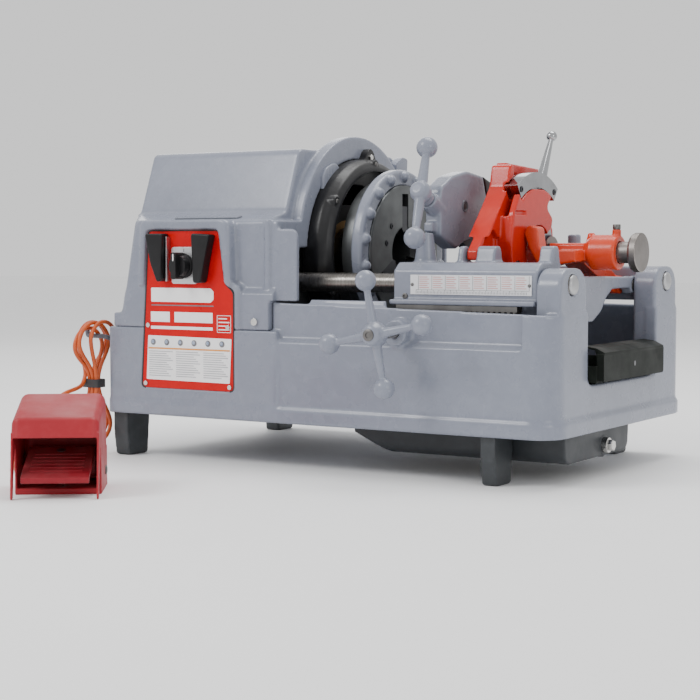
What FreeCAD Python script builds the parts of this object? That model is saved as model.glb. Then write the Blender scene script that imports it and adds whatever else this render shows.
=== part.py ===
import FreeCAD, Part
import math
import os

# Bench pipe threading machine, millimetres. +X runs from the drive end to the
# carriage end, the operator stands at -Y, +Z is up. The origin is the centre
# of the four stand bolt holes, on the plane of the foot soles.

V = FreeCAD.Vector

# ---- driving dimensions -------------------------------------------------
BASE_LEFT, BASE_RIGHT = -375.0, 463.0     # ends of the cast base
BASE_HALF = 267.5                         # half the base width
BASE_BOTTOM, FLOOR_TOP = 74.5, 106.0      # underside of the skirt, top of the floor plate
BASE_CORNER, DRIVE_CORNER = 45.0, 9.0      # plan radii of the right and left corners
WALL = 8.0                                # cast wall thickness
LIP_TOP = 98.0                            # top of the proud skirt
LEDGE = 204.0                             # where the lower wall steps in
WALL_TOP_LEFT, WALL_TOP_RIGHT = 268.0, 256.0
SPLIT = 222.0                             # parting line of base and hood
SHOULDER, CORNER_START = -24.0, 408.0     # where the wall steps in and where it steps out again

FOOT_X, FOOT_Y = 350.0, 222.0             # stand bolt holes from the origin
BOLT_RADIUS, BOLT_DEPTH = 5.5, 30.0

AXIS_Z = 348.0                            # spindle axis height
PIPE_RADIUS = 31.75                       # bore of the spindle
RAIL_Y, RAIL_Z, RAIL_RADIUS = 189.0, 300.0, 15.5
RUNNING = 0.05                            # radial clearance of running fits

HOOD_LEFT, HOOD_RIGHT = -361.0, -33.0
HOOD_TOP = 520.0
COLLAR_Z, COLLAR_RADIUS = 366.0, 181.0
OPENING_Z, OPENING_RADIUS = 348.0, 160.0   # chuck opening under the collar

POST_LEFT, POST_RIGHT = 417.0, 456.0      # end posts that hold the rails
CARRIAGE_LEFT, CARRIAGE_RIGHT = 169.0, 415.0
DECK = 333.0                              # top of the front carriage beam
PIVOT_Y, PIVOT_Z, PIVOT_RADIUS = 148.0, 294.0, 8.0

WHEEL_X, WHEEL_Z, WHEEL_Y = 199.0, 226.0, -330.0   # feed wheel axis and hub
RACK_MODULE, PINION_TEETH = 3.0, 20

GEAR_MODULE, SPINDLE_TEETH, IDLER_SMALL = 4.0, 60, 15
FINE_MODULE, IDLER_BIG, MOTOR_TEETH = 2.5, 48, 12
IDLER_ANGLE, MOTOR_ANGLE, PUMP_ANGLE = -15.0, -70.0, 195.0

WHEEL_BORE = 114.0                        # chuck wheel on the chuck body

HANDLE_Y, HANDLE_Z = -183.0, 442.0        # hub of the cutter feed handle
CUTTER_LEFT, CUTTER_RIGHT = 180.0, 208.0
DIE_LEFT, DIE_RIGHT = 252.0, 294.0
REAMER_LEFT, REAMER_RIGHT = 336.0, 452.0

SWITCH_X, SWITCH_Z = -206.0, 326.0        # selector knob
PANEL_Y = -264.5                          # front face of the control plate

PEDAL_X, PEDAL_Y, PEDAL_TURN = -107.0, -696.0, 36.0   # foot switch: front edge centre, turn
SPRING_TOP = 46.9                         # top of the spring under the pedal

CORD_RADIUS = 3.5
HANK_X, HANK_HALF = -398.0, 15.0          # middle and half thickness of the hank
HOOK_Y, HOOK_Z = -250.0, 205.0            # hook that the hank hangs on
CORD_LEAD = [                             # from the gland to the hank
    (-377.0, -105.0, 196.0), (-401.0, -106.0, 195.5), (-422.0, -120.0, 193.0), (-432.0, -143.0, 189.0),
    (-430.0, -168.0, 185.5), (-421.0, -190.0, 183.5), (-410.0, -211.0, 183.5), (-401.0, -231.0, 186.0)]
CORD_RUN = [                              # from the hank to the foot switch
    (-398.0, -292.0, 124.0), (-399.0, -320.0, 121.0), (-401.0, -352.0, 111.0), (-402.0, -386.0, 90.0),
    (-402.0, -418.0, 62.0), (-399.0, -446.0, 35.0), (-391.0, -474.0, 15.0), (-374.0, -500.0, 5.5),
    (-346.0, -515.0, 3.8), (-314.0, -514.0, 3.8), (-284.0, -501.0, 3.8), (-256.0, -503.0, 6.0),
    (-234.0, -522.0, 12.0), (-220.0, -540.5, 18.0), (-208.1, -556.8, 20.0)]

PARTS = {}


# ---- geometry helpers -----------------------------------------------------
def put(name, shape):
    PARTS[name] = shape.removeSplitter() if len(shape.Solids) == 1 else shape


def point(plane, u, v, w):
    if plane == "XY":
        return V(u, v, w)
    if plane == "XZ":
        return V(u, w, v)
    return V(w, u, v)


def outline(plane, points, w):
    """Closed wire through (u, v) or (u, v, corner radius), at w along the third axis."""
    count = len(points)
    spots = [V(p[0], p[1], 0) for p in points]
    starts, ends, middles = [], [], []
    for i in range(count):
        corner = spots[i]
        radius = points[i][2] if len(points[i]) > 2 else 0
        if radius <= 0:
            starts.append(corner)
            ends.append(corner)
            middles.append(None)
            continue
        back = (spots[i - 1] - corner).normalize()
        ahead = (spots[(i + 1) % count] - corner).normalize()
        half = back.getAngle(ahead) / 2
        reach = radius / math.tan(half)
        middle = (back + ahead).normalize()
        starts.append(corner + back * reach)
        ends.append(corner + ahead * reach)
        middles.append(corner + middle * (radius / math.sin(half) - radius))
    edges = []
    for i in range(count):
        a = point(plane, starts[i].x, starts[i].y, w)
        b = point(plane, ends[i].x, ends[i].y, w)
        if middles[i] is not None:
            m = point(plane, middles[i].x, middles[i].y, w)
            edges.append(Part.Arc(a, m, b).toShape())
        c = starts[(i + 1) % count]
        c = point(plane, c.x, c.y, w)
        if b.distanceToPoint(c) > 1e-4:
            edges.append(Part.makeLine(b, c))
    return Part.Wire(edges)


def slab(plane, points, low, high):
    """An outline in XY, XZ or YZ, drawn out between two places on the third axis."""
    face = Part.Face(outline(plane, points, low))
    return face.extrude(point(plane, 0, 0, high - low))


def block(x0, x1, y0, y1, z0, z1):
    return Part.makeBox(x1 - x0, y1 - y0, z1 - z0, V(x0, y0, z0))


def plate(x0, x1, y0, y1, z0, z1, radius):
    """A block with its four vertical edges rounded."""
    corners = [(x0, y0, radius), (x1, y0, radius), (x1, y1, radius), (x0, y1, radius)]
    return slab("XY", corners, z0, z1)


def bar(start, end, radius, far_radius=None):
    """Round bar, or a cone, between two points."""
    a, b = V(*start), V(*end)
    if far_radius is None:
        return Part.makeCylinder(radius, (b - a).Length, a, b - a)
    return Part.makeCone(radius, far_radius, (b - a).Length, a, b - a)


def ball(centre, radius):
    return Part.makeSphere(radius, V(*centre))


def ball_bar(start, tip, radius, end_radius, ball_radius):
    """A tapered bar that ends in a ball, turned in one piece about its own line."""
    a, b = V(*start), V(*tip)
    length = (b - a).Length
    touch = length - math.sqrt(ball_radius ** 2 - end_radius ** 2)
    waist, crown, pole = V(touch, 0, end_radius), V(length, 0, ball_radius), V(length + ball_radius, 0, 0)
    edges = [Part.makeLine(V(0, 0, 0), V(0, 0, radius)), Part.makeLine(V(0, 0, radius), waist),
             Part.Arc(waist, crown, pole).toShape(), Part.makeLine(pole, V(0, 0, 0))]
    solid = Part.Face(Part.Wire(edges)).revolve(V(0, 0, 0), V(1, 0, 0), 360)
    solid.Placement = FreeCAD.Placement(a, FreeCAD.Rotation(V(1, 0, 0), b - a))
    return solid


def along_x(radius, x0, x1, y=0.0, z=AXIS_Z):
    return bar((x0, y, z), (x1, y, z), radius)


def ring(outer, inner, x0, x1, y=0.0, z=AXIS_Z):
    return along_x(outer, x0, x1, y, z).cut(along_x(inner, x0 - 1, x1 + 1, y, z))


def turned(profile, y=0.0, z=AXIS_Z):
    """A closed profile of (x, radius) turned about a line along X."""
    face = Part.Face(outline("XZ", profile, 0))
    solid = face.revolve(V(0, 0, 0), V(1, 0, 0), 360)
    solid.translate(V(0, y, z))
    return solid


def spin_x(shape, degrees, y=0.0, z=AXIS_Z):
    shape.rotate(V(0, y, z), V(1, 0, 0), degrees)
    return shape


def polar(radius, degrees, y=0.0, z=AXIS_Z):
    turn = math.radians(degrees)
    return y + radius * math.cos(turn), z + radius * math.sin(turn)


def gear(teeth, module, phase, x0, x1, bore, y, z):
    """Spur gear about a line along X, with a tooth at the phase angle."""
    pitch = module * teeth / 2
    step = 2 * math.pi / teeth
    points = []
    for k in range(teeth):
        middle = math.radians(phase) + k * step
        for share, radius in ((-0.29, pitch - 1.2 * module), (-0.12, pitch + 0.9 * module),
                              (0.12, pitch + 0.9 * module), (0.29, pitch - 1.2 * module)):
            turn = middle + share * step
            points.append((y + radius * math.cos(turn), z + radius * math.sin(turn)))
    return slab("YZ", points, x0, x1).cut(along_x(bore, x0 - 1, x1 + 1, y, z))


def route(points, share=0.45):
    """Straight runs joined by tangent arcs through a list of points."""
    spots = [V(*p) for p in points]
    edges, radii = [], []
    last = spots[0]
    for i in range(1, len(spots) - 1):
        back, ahead = spots[i - 1] - spots[i], spots[i + 1] - spots[i]
        reach = share * min(back.Length, ahead.Length)
        back.normalize()
        ahead.normalize()
        half = back.getAngle(ahead) / 2
        start, end = spots[i] + back * reach, spots[i] + ahead * reach
        radius = reach * math.tan(half)
        middle = spots[i] + (back + ahead).normalize() * (radius / math.sin(half) - radius)
        edges.append(Part.makeLine(last, start))
        edges.append(Part.Arc(start, middle, end).toShape())
        radii.append(round(radius, 1))
        last = end
    edges.append(Part.makeLine(last, spots[-1]))
    return Part.Wire(edges), radii


def cord(name, points, radius):
    """A cord's tube along its route; prints the bend radii and checks the volume."""
    path, radii = route(points)
    first = V(*points[1]) - V(*points[0])
    circle = Part.Wire(Part.makeCircle(radius, V(*points[0]), first))
    tube = path.makePipeShell([circle], True, False)
    share = tube.Volume / (math.pi * radius ** 2 * path.Length)
    print(name, "length", round(path.Length, 1), "radii", radii, "volume share", round(share, 4))
    put(name, tube)


# ---- base, feet, hood ------------------------------------------------------
def base_rectangle(inset, corner):
    x0, x1, y = BASE_LEFT + inset, BASE_RIGHT - inset, BASE_HALF - inset
    sharp = max(DRIVE_CORNER - inset, 2)
    return [(x0, -y, sharp), (x1, -y, corner), (x1, y, corner), (x0, y, sharp)]


def grown_panel(by):
    """The control plate's outline, grown by a margin."""
    return [(-300 - by, 121 - by, 10), (-109 + by, 121 - by, 10), (-109 + by, 284 + by, 4),
            (-126 + by, 296 + by, 6),
            (-138 + by, 384 + by, 8), (-284 - by, 384 + by, 8), (-289 - by, 300, 0)]


def base_casting():
    body = slab("XY", base_rectangle(0, BASE_CORNER), BASE_BOTTOM, LIP_TOP)
    body = body.fuse(slab("XY", base_rectangle(4, BASE_CORNER - 4), LIP_TOP, LEDGE))
    body = body.fuse(slab("XY", base_rectangle(15, BASE_CORNER - 15), LEDGE, 290))
    drive_end = slab("XY", base_rectangle(1.5, BASE_CORNER), LIP_TOP, SPLIT)
    body = body.fuse(drive_end.common(block(-400, SHOULDER, -300, 300, LIP_TOP, SPLIT)))
    corners = slab("XY", base_rectangle(4, BASE_CORNER - 4), LEDGE, 290)
    body = body.fuse(corners.common(block(CORNER_START, 500, -300, 300, LEDGE, 290)))
    for side in (-1, 1):
        y0, y1 = side * (BASE_HALF - 4), side * (BASE_HALF - 16)
        body = body.fuse(slab("YZ", [(y0, LEDGE - 1), (y1, LEDGE - 1), (y1, LEDGE + 9), (y0, LEDGE)],
                              SHOULDER, CORNER_START + 5))
    above = slab("XZ", [(-40, WALL_TOP_LEFT), (BASE_RIGHT + 10, WALL_TOP_RIGHT),
                        (BASE_RIGHT + 10, 300), (-40, 300)], -300, 300)
    body = body.cut(above).cut(block(-400, -40, -300, 300, SPLIT, 300))
    panel_bed = slab("XZ", grown_panel(1.5), PANEL_Y + 3, -290)
    body = body.cut(panel_bed)
    inner = BASE_HALF - 15 - WALL
    well = plate(BASE_LEFT + 12, BASE_RIGHT - 15 - WALL, -inner, inner, FLOOR_TOP, 300, 22)
    body = body.cut(well)
    hollow = slab("XY", base_rectangle(12, BASE_CORNER - 12), BASE_BOTTOM - 1, LIP_TOP)
    body = body.cut(hollow)
    body = body.cut(plate(-300, -80, -150, 150, LIP_TOP - 1, FLOOR_TOP + 1, 20))
    body = body.cut(plate(90, 410, -170, 45, LIP_TOP - 1, FLOOR_TOP + 1, 20))
    for low, high in ((-234, -138), (138, 234)):
        post = slab("YZ", [(low, FLOOR_TOP, 0), (high, FLOOR_TOP, 0), (high, 325, 34), (low, 325, 34)],
                    POST_LEFT, POST_RIGHT)
        body = body.fuse(post)
    tray_gap = slab("YZ", [(-137, 148, 14), (137, 148, 14), (137, 330), (-137, 330)],
                    POST_RIGHT - 25, BASE_RIGHT + 5)
    body = body.cut(tray_gap)
    for side in (-1, 1):
        y0, y1 = sorted((side * 110, side * 126))
        body = body.fuse(block(150, POST_LEFT + 20, y0, y1, FLOOR_TOP - 1, 150))
        y0, y1 = sorted((side * (inner - 4), side * (inner + 1)))
        body = body.fuse(block(28, 168, y0, y1, 240, 273))
    boss = bar((WHEEL_X, -BASE_HALF - 6, WHEEL_Z), (WHEEL_X, -inner + 1, WHEEL_Z), 20)
    body = body.fuse(boss)
    body = body.cut(bar((WHEEL_X, -300, WHEEL_Z), (WHEEL_X, -230, WHEEL_Z), 8 + RUNNING))
    for side in (-1, 1):
        body = body.cut(along_x(RAIL_RADIUS + RUNNING, POST_LEFT - 5, POST_RIGHT + 5, side * RAIL_Y,
                                RAIL_Z))
    body = body.cut(stand_feet_shape(False))
    body = body.cut(along_x(7, -380, -355, -105, 196))
    put("base_casting", body)


def stand_feet_shape(holes=True):
    feet = []
    for sx in (-1, 1):
        for sy in (-1, 1):
            u = [(250, 0, 6), (200, 0, 6), (195, 60, 10), (194, LIP_TOP), (256, LIP_TOP), (256, 40, 30)]
            points = [(sy * p[0],) + p[1:] for p in u]
            ends = (FOOT_X - 12, FOOT_X + 12) if sx > 0 else (BASE_LEFT + 4, -FOOT_X + 9.5)
            foot = slab("YZ", points, *ends)
            if holes:
                hole = bar((sx * FOOT_X, sy * FOOT_Y, -1), (sx * FOOT_X, sy * FOOT_Y, BOLT_DEPTH),
                           BOLT_RADIUS)
                foot = foot.cut(hole)
            feet.append(foot)
    return Part.makeCompound(feet)


def hood_section(inset):
    """Half section of the hood, from the parting line to the crown."""
    right = [(262 - inset, SPLIT), (262 - inset, 281), (251 - inset, 291),
             (250 - inset, 400 - inset / 2, 10), (192 - inset, 415 - inset, 14), (152 - inset,
                                                                                  HOOD_TOP - inset, 16)]
    return right + [(-p[0],) + tuple(p[1:]) for p in reversed(right)]


def corner_wedge(inset):
    """What is missing from the hood's front left corner, grown by an inset."""
    wires = []
    for z, along, across in ((246 - inset, 26, 42), (412 + inset, 58, 84)):
        x, y = HOOD_LEFT - 4, -272
        reach = inset * 1.4
        spots = [V(x, y, z), V(x + along + reach, y, z), (V(x, y + across + reach, z))]
        wires.append(Part.makePolygon(spots + [spots[0]]))
    return Part.makeLoft(wires, True, True)


def hood():
    left = HOOD_LEFT
    shell = slab("YZ", hood_section(0), left, HOOD_RIGHT - 20)
    flank = slab("YZ", hood_section(0), left, HOOD_RIGHT)
    shell = shell.fuse(flank.common(block(-80, HOOD_RIGHT, -300, 300, SPLIT, 400)))
    box_front = slab("XZ", [(left, SPLIT), (-96, SPLIT), (-96, 292, 6), (-112, 300, 6), (-116, 402, 14),
                            (-311, 402, 14),
                            (-341, 252, 3), (left, 247, 5)], -266, -230)
    rim = slab("XZ", [(-303, 292), (-112, 292), (-120, 402, 14), (-298, 402, 14)], -271, -264)
    shell = shell.fuse(box_front).fuse(rim)
    collar = along_x(COLLAR_RADIUS, -56, HOOD_RIGHT, 0, COLLAR_Z)
    shell = shell.fuse(collar.common(block(-60, HOOD_RIGHT, -300, 300, 240, 600)))
    inner = slab("YZ", hood_section(7), left + 7, -56).cut(corner_wedge(9))
    shell = shell.cut(inner)
    shell = shell.cut(block(-60, HOOD_RIGHT + 1, -240, 240, SPLIT - 1, 300))
    shell = shell.cut(along_x(OPENING_RADIUS, -58, HOOD_RIGHT + 1, 0, OPENING_Z))
    shell = shell.cut(block(-60, HOOD_RIGHT + 1, -184, 184, SPLIT - 1, 356))
    shell = shell.fuse(slab("XZ", [(-54, 286, 3), (-44, 286, 3), (-44, 402, 3), (-54, 402, 3)], -256,
                            -246))
    shell = shell.cut(block(-330, -124, -259, -243, SPLIT - 1, 250)).cut(block(-312, -124, -259, -243,
                                                                               249, 390))
    shell = shell.cut(corner_wedge(0))
    shell = shell.cut(slab("XZ", grown_panel(1.5), PANEL_Y + 3, -290))
    for side in (-1, 1):
        y0, y1 = sorted((side * 240.5, side * 275))
        shell = shell.cut(block(-42, HOOD_RIGHT + 5, y0, y1, SPLIT - 1, 270))
        y0, y1 = sorted((side * 240.5, side * 250))
        shell = shell.fuse(slab("XZ", [(-45, 270), (5, 270), (5, 386, 14), (-45, 386)], y0, y1))
        shell = shell.cut(along_x(RAIL_RADIUS + 2, -60, 10, side * RAIL_Y, RAIL_Z))
    shell = shell.cut(along_x(50, left - 1, left + 8))
    shell = shell.cut(bar((SWITCH_X, -270, SWITCH_Z), (SWITCH_X, -250, SWITCH_Z), 7))
    put("hood", shell)


def hood_screws():
    screws = []
    for side in (-1, 1):
        screws.append(bar((-68, side * 266, 236), (-68, side * 262.05, 236), 6))
    screws.append(bar((-330, 266, 236), (-330, 262.05, 236), 6))
    for x, z in ((-292, 128), (-117, 128), (-286, 226), (-120, 226)):
        screws.append(bar((x, PANEL_Y - 2, z), (x, PANEL_Y, z), 4))
    put("hood_screws", Part.makeCompound(screws))


def headstock():
    frame = block(-335, -60, -206, 206, FLOOR_TOP, FLOOR_TOP + 7)
    frame = frame.cut(block(-300, -190, -150, 150, FLOOR_TOP - 1, FLOOR_TOP + 8))
    front = slab("YZ", [(-212, 110), (212, 110), (212, 330, 12), (90, 430, 40), (-90, 430, 40),
                        (-212, 330, 12)], -80, -60)
    middle = slab("YZ", [(-200, 110), (240, 110), (240, 380, 20), (90, 420, 40), (-90, 420, 40),
                         (-200, 340, 20)], -184, -172)
    back = slab("YZ", [(-75, 110), (75, 110), (75, 430, 30), (-75, 430, 30)], -330, -310)
    frame = frame.fuse([front, middle, back])
    for x0, x1 in ((-81, -59), (-331, -309)):
        frame = frame.cut(along_x(55.02, x0, x1))
    frame = frame.cut(along_x(46, -185, -171))
    idler_y, idler_z = polar(150, IDLER_ANGLE)
    pump_y, pump_z = polar(150, PUMP_ANGLE)
    motor_y, motor_z = polar(75, MOTOR_ANGLE, idler_y, idler_z)
    for y, z in ((idler_y, idler_z), (pump_y, pump_z)):
        frame = frame.cut(along_x(9 + RUNNING, -185, -171, y, z)).cut(along_x(9 + RUNNING, -81, -59, y,
                                                                              z))
    frame = frame.cut(along_x(24, -185, -171, motor_y, motor_z))
    for side in (-1, 1):
        frame = frame.cut(along_x(RAIL_RADIUS + RUNNING, -85, -50, side * RAIL_Y, RAIL_Z))
    put("headstock_frame", frame)
    put("spindle_bearings", Part.makeCompound([ring(55, 42 + RUNNING, x, x + 20) for x in (-80, -330)]))
    rails = []
    for side in (-1, 1):
        rail = turned([(-80, 0), (-80, RAIL_RADIUS), (452, RAIL_RADIUS), (459, 11, 4), (461, 0)],
                      side * RAIL_Y, RAIL_Z)
        rails.append(rail)
    put("carriage_rails", Part.makeCompound(rails))


def shroud():
    profile = [(-44, 116), (-44, 159.6), (-16, 159.6), (-2, 154, 5), (7, 142, 5), (4, 137), (-6, 146, 8),
               (-22, 150, 6),
               (-38, 116)]
    body = turned(profile, 0, OPENING_Z)
    for angle in (-26, 34, 90, 146, 206):
        y, z = polar(150, angle, 0, OPENING_Z)
        body = body.fuse(along_x(9, -24, 2, y, z))
    body = body.cut(block(-40, 20, -300, 300, 0, 258))
    for side in (-1, 1):
        body = body.cut(along_x(RAIL_RADIUS + 2, -40, 20, side * RAIL_Y, RAIL_Z))
    put("chuck_shroud", body)


# ---- drive ------------------------------------------------------------------
def drive():
    idler_y, idler_z = polar(150, IDLER_ANGLE)
    motor_y, motor_z = polar(75, MOTOR_ANGLE, idler_y, idler_z)
    pump_y, pump_z = polar(150, PUMP_ANGLE)
    put("spindle_gear", gear(SPINDLE_TEETH, GEAR_MODULE, IDLER_ANGLE, -120, -98, 42, 0, AXIS_Z))
    small = gear(IDLER_SMALL, GEAR_MODULE, IDLER_ANGLE + 180 + 180 / IDLER_SMALL, -126, -94, 9, idler_y,
                 idler_z)
    big = gear(IDLER_BIG, FINE_MODULE, MOTOR_ANGLE, -150, -132, 9, idler_y, idler_z)
    shaft = along_x(9, -183.5, -60.5, idler_y, idler_z)
    hub = ring(16, 9, -133, -125, idler_y, idler_z)
    put("idler_gear", shaft.fuse([small, big, hub]))
    pinion = gear(MOTOR_TEETH, FINE_MODULE, MOTOR_ANGLE + 180 + 180 / MOTOR_TEETH, -154, -128, 6, motor_y,
                  motor_z)
    rotor = along_x(6, -300, -124, motor_y, motor_z).fuse(pinion)
    rotor = rotor.fuse(along_x(38, -290, -215, motor_y, motor_z))
    put("motor_rotor", rotor)
    motor = turned([(-345, 0), (-345, 50), (-338, 62, 6), (-200, 66, 4), (-184.1, 66), (-184.1, 0)],
                   motor_y, motor_z)
    motor = motor.cut(along_x(39, -291, -214, motor_y, motor_z))
    motor = motor.cut(along_x(6 + RUNNING, -301, -180, motor_y, motor_z))
    put("drive_motor", motor)
    pump_shaft = along_x(9, -183.5, -60.5, pump_y, pump_z)
    teeth = gear(IDLER_SMALL, GEAR_MODULE, pump_phase(), -122, -96, 9, pump_y, pump_z)
    put("pump_gear", pump_shaft.fuse(teeth))
    pump = slab("YZ", [(pump_y - 34, pump_z - 34, 10), (pump_y + 34, pump_z - 34, 10),
                       (pump_y + 34, pump_z + 34, 10), (pump_y - 34, pump_z + 34, 10)], -222, -184.1)
    pipe = bar((-206, pump_y, pump_z - 34), (-206, pump_y, FLOOR_TOP + 10), 7)
    put("oil_pump", pump.fuse(pipe))


def pump_phase():
    """Tooth phase of the pump gear: a gap where the spindle gear's nearest tooth is."""
    step = 360 / SPINDLE_TEETH
    nearest = IDLER_ANGLE + round((PUMP_ANGLE - IDLER_ANGLE) / step) * step
    lag = (PUMP_ANGLE - nearest) * SPINDLE_TEETH / IDLER_SMALL
    return PUMP_ANGLE + 180 + 180 / IDLER_SMALL + lag


def spindle():
    tube = ring(42, PIPE_RADIUS, -418, 8)
    put("spindle_tube", tube)
    body = turned([(8, 34), (8, 120), (34.6, 120), (34.6, WHEEL_BORE), (60, WHEEL_BORE, 3), (60, 44),
                   (50, 34)])
    rear = turned([(-418.5, 42.02), (-418.5, 58), (-389.6, 58), (-389.6, 64), (-382, 64), (-382, 42.02)])
    for k in range(3):
        slot = spin_x(block(42, 70, -10, 10, AXIS_Z + 32, AXIS_Z + 99), 120 * k)
        body = body.cut(slot)
    put("chuck_body", body)
    rear = rear.fuse(turned([(-434, PIPE_RADIUS + 2), (-434, 58, 2), (-418.5, 58),
                             (-418.5, PIPE_RADIUS + 2)]))
    for k in range(3):
        slot = spin_x(block(-436, -421, -8, 8, AXIS_Z + 30, AXIS_Z + 59), 120 * k)
        rear = rear.cut(slot)
    put("rear_chuck_body", rear)
    bore = WHEEL_BORE + RUNNING
    wheel = turned([(35, bore), (35, 133), (39, 140, 3), (53, 140, 4), (57.5, 136, 3), (57.5, bore)])
    for k in range(18):
        y, z = polar(127.5, 20 * k + 10)
        wheel = wheel.fuse(turned([(55, 0), (55, 9.6), (62, 9, 3), (66, 5, 4), (67, 0)], y, z))
    put("chuck_wheel", wheel)
    rear_wheel = turned([(-418, 58 + RUNNING), (-418, 84, 4), (-414, 92, 3), (-396, 92, 3),
                         (-390.5, 86, 3),
                         (-390.5, 58 + RUNNING)])
    for k in range(12):
        y, z = polar(97, 30 * k)
        rear_wheel = rear_wheel.cut(along_x(9, -420, -388, y, z))
    put("rear_wheel", rear_wheel)
    for k in range(3):
        jaw = slab("XY", [(42.4, -9.6), (59, -9.6), (59, 9.6), (42.4, 9.6)], AXIS_Z + 40, AXIS_Z + 78)
        nose = slab("YZ", [(-9.6, AXIS_Z + 40), (-3.5, AXIS_Z + 34), (0, AXIS_Z + 36), (3.5, AXIS_Z + 34),
                           (9.6, AXIS_Z + 40)], 42.4, 59)
        put("front_jaw_%d" % (k + 1), spin_x(jaw.fuse(nose), 120 * k))
        small = block(-433.6, -421.4, -7.6, 7.6, AXIS_Z + 36, AXIS_Z + 54)
        tip = slab("YZ", [(-7.6, AXIS_Z + 36), (-2, AXIS_Z + 33.8), (2, AXIS_Z + 33.8),
                          (7.6, AXIS_Z + 36)],
                   -433.6, -421.4)
        put("rear_jaw_%d" % (k + 1), spin_x(small.fuse(tip), 120 * k))


# ---- carriage ---------------------------------------------------------------
def carriage():
    left, right = CARRIAGE_LEFT, CARRIAGE_RIGHT
    front = slab("YZ", [(-142, 268), (-142, DECK, 3), (-208, DECK, 12), (-224, 320, 4), (-224, 276),
                        (-238, 276),
                        (-238, 268)], left, right)
    rear = slab("YZ", [(166, 268), (224, 268, 6), (224, 325, 12), (166, 325, 4)], left, right)
    body = front.fuse(rear)
    for x0, x1 in ((left, 177), (222, 232), (312, 322)):
        body = body.fuse(block(x0, x1, -143, 167, 270, 300))
    body = body.fuse(slab("YZ", [(-143, 238), (-20, 238, 20), (14, 254, 12), (32, 274, 12), (58, 289, 16),
                                 (167, 289),
                                 (167, 307), (-143, 313)], 403, right))
    body = body.fuse(block(312, 337, 94, 118, 280, 298)).fuse(bar((325, 106, 296), (325, 106, 378), 11.5,
                                                                  11))
    for x0, x1 in ((left, 177), (211, 235), (309, 325), (397, right)):
        body = body.fuse(along_x(15, x0, x1, PIVOT_Y, PIVOT_Z))
    post = bar((190, -160, DECK - 1), (190, -160, 379), 18, 12)
    body = body.fuse(post)
    for x0, x1 in ((253, 263), (286, 318), (393, right)):
        lug = slab("YZ", [(-176, DECK - 2), (-144, DECK - 2), (-150, 358, 8), (-168, 358, 8)], x0, x1)
        body = body.fuse(lug)
    for side in (-1, 1):
        body = body.cut(along_x(RAIL_RADIUS + RUNNING, left - 1, right + 1, side * RAIL_Y, RAIL_Z))
    body = body.cut(along_x(PIVOT_RADIUS, left - 1, right + 1, PIVOT_Y, PIVOT_Z))
    put("carriage_casting", body)
    put("tool_pivot_rod", along_x(PIVOT_RADIUS, left, right, PIVOT_Y, PIVOT_Z))
    put("scale_plate", block(200, 406, -225.6, -224, 284, 314))
    pitch = math.pi * RACK_MODULE
    pitch_line = WHEEL_Z + RACK_MODULE * PINION_TEETH / 2
    tip, root = pitch_line - 0.9 * RACK_MODULE, pitch_line + 1.2 * RACK_MODULE
    start, count = -2, 22
    x = WHEEL_X + (start + 0.5) * pitch
    points = [(x - pitch / 2, root)]
    for k in range(count):
        centre = x + k * pitch
        points += [(centre - 0.29 * pitch, root), (centre - 0.12 * pitch, tip),
                   (centre + 0.12 * pitch, tip), (centre + 0.29 * pitch, root)]
    end = x + (count - 0.5) * pitch
    points += [(end, root), (end, 268), (x - pitch / 2, 268)]
    put("feed_rack", slab("XZ", points, -236, -218))


def feed_wheel():
    pitch = RACK_MODULE * PINION_TEETH / 2
    points = []
    step = 2 * math.pi / PINION_TEETH
    for k in range(PINION_TEETH):
        for share, radius in ((-0.29, pitch - 3.6), (-0.12, pitch + 2.7), (0.12, pitch + 2.7),
                              (0.29, pitch - 3.6)):
            turn = math.pi / 2 + (k + share) * step
            points.append((WHEEL_X + radius * math.cos(turn), WHEEL_Z + radius * math.sin(turn)))
    pinion = slab("XZ", points, -235.5, -218.5)
    shaft = bar((WHEEL_X, WHEEL_Y + 4, WHEEL_Z), (WHEEL_X, -214, WHEEL_Z), 8)
    put("feed_pinion", pinion.fuse(shaft))
    profile = [(0, 0), (0, 10), (3, 15, 4), (14, 19, 8), (24, 19, 8), (34, 14), (34, 0)]
    hub = Part.Face(outline("XZ", profile, 0)).revolve(V(0, 0, 0), V(1, 0, 0), 360)
    hub.Placement = FreeCAD.Placement(V(WHEEL_X, WHEEL_Y - 18, WHEEL_Z), FreeCAD.Rotation(V(1, 0, 0),
                                                                                          V(0, 1, 0)))
    for k in range(4):
        turn = math.radians(11.5 + 90 * k)
        x, z = math.cos(turn), math.sin(turn)
        tip = (WHEEL_X + 82 * x, WHEEL_Y, WHEEL_Z + 82 * z)
        foot = (WHEEL_X + 10 * x, WHEEL_Y, WHEEL_Z + 10 * z)
        hub = hub.fuse(ball_bar(foot, tip, 8, 5, 16))
    hub = hub.cut(bar((WHEEL_X, WHEEL_Y + 4, WHEEL_Z), (WHEEL_X, -214, WHEEL_Z), 8))
    put("feed_handwheel", hub)


# ---- pipe cutter -------------------------------------------------------------
REACH = math.hypot(HANDLE_Y, HANDLE_Z - AXIS_Z)
DOWN_Y, DOWN_Z = -HANDLE_Y / REACH, (AXIS_Z - HANDLE_Z) / REACH      # along the feed screw


def on_screw(travel, side=0.0):
    """(y, z) at a distance along the feed screw from its handle, and to its upper side."""
    return (HANDLE_Y + travel * DOWN_Y - side * DOWN_Z, HANDLE_Z + travel * DOWN_Z + side * DOWN_Y)


def screw_slab(x0, x1, t0, t1, half):
    corners = [on_screw(t0, -half), on_screw(t1, -half), on_screw(t1, half), on_screw(t0, half)]
    return slab("YZ", corners, x0, x1)


def screw_bar(t0, t1, radius, far=None, x=194.0):
    a, b = on_screw(t0), on_screw(t1)
    return bar((x, a[0], a[1]), (x, b[0], b[1]), radius, far)


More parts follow.
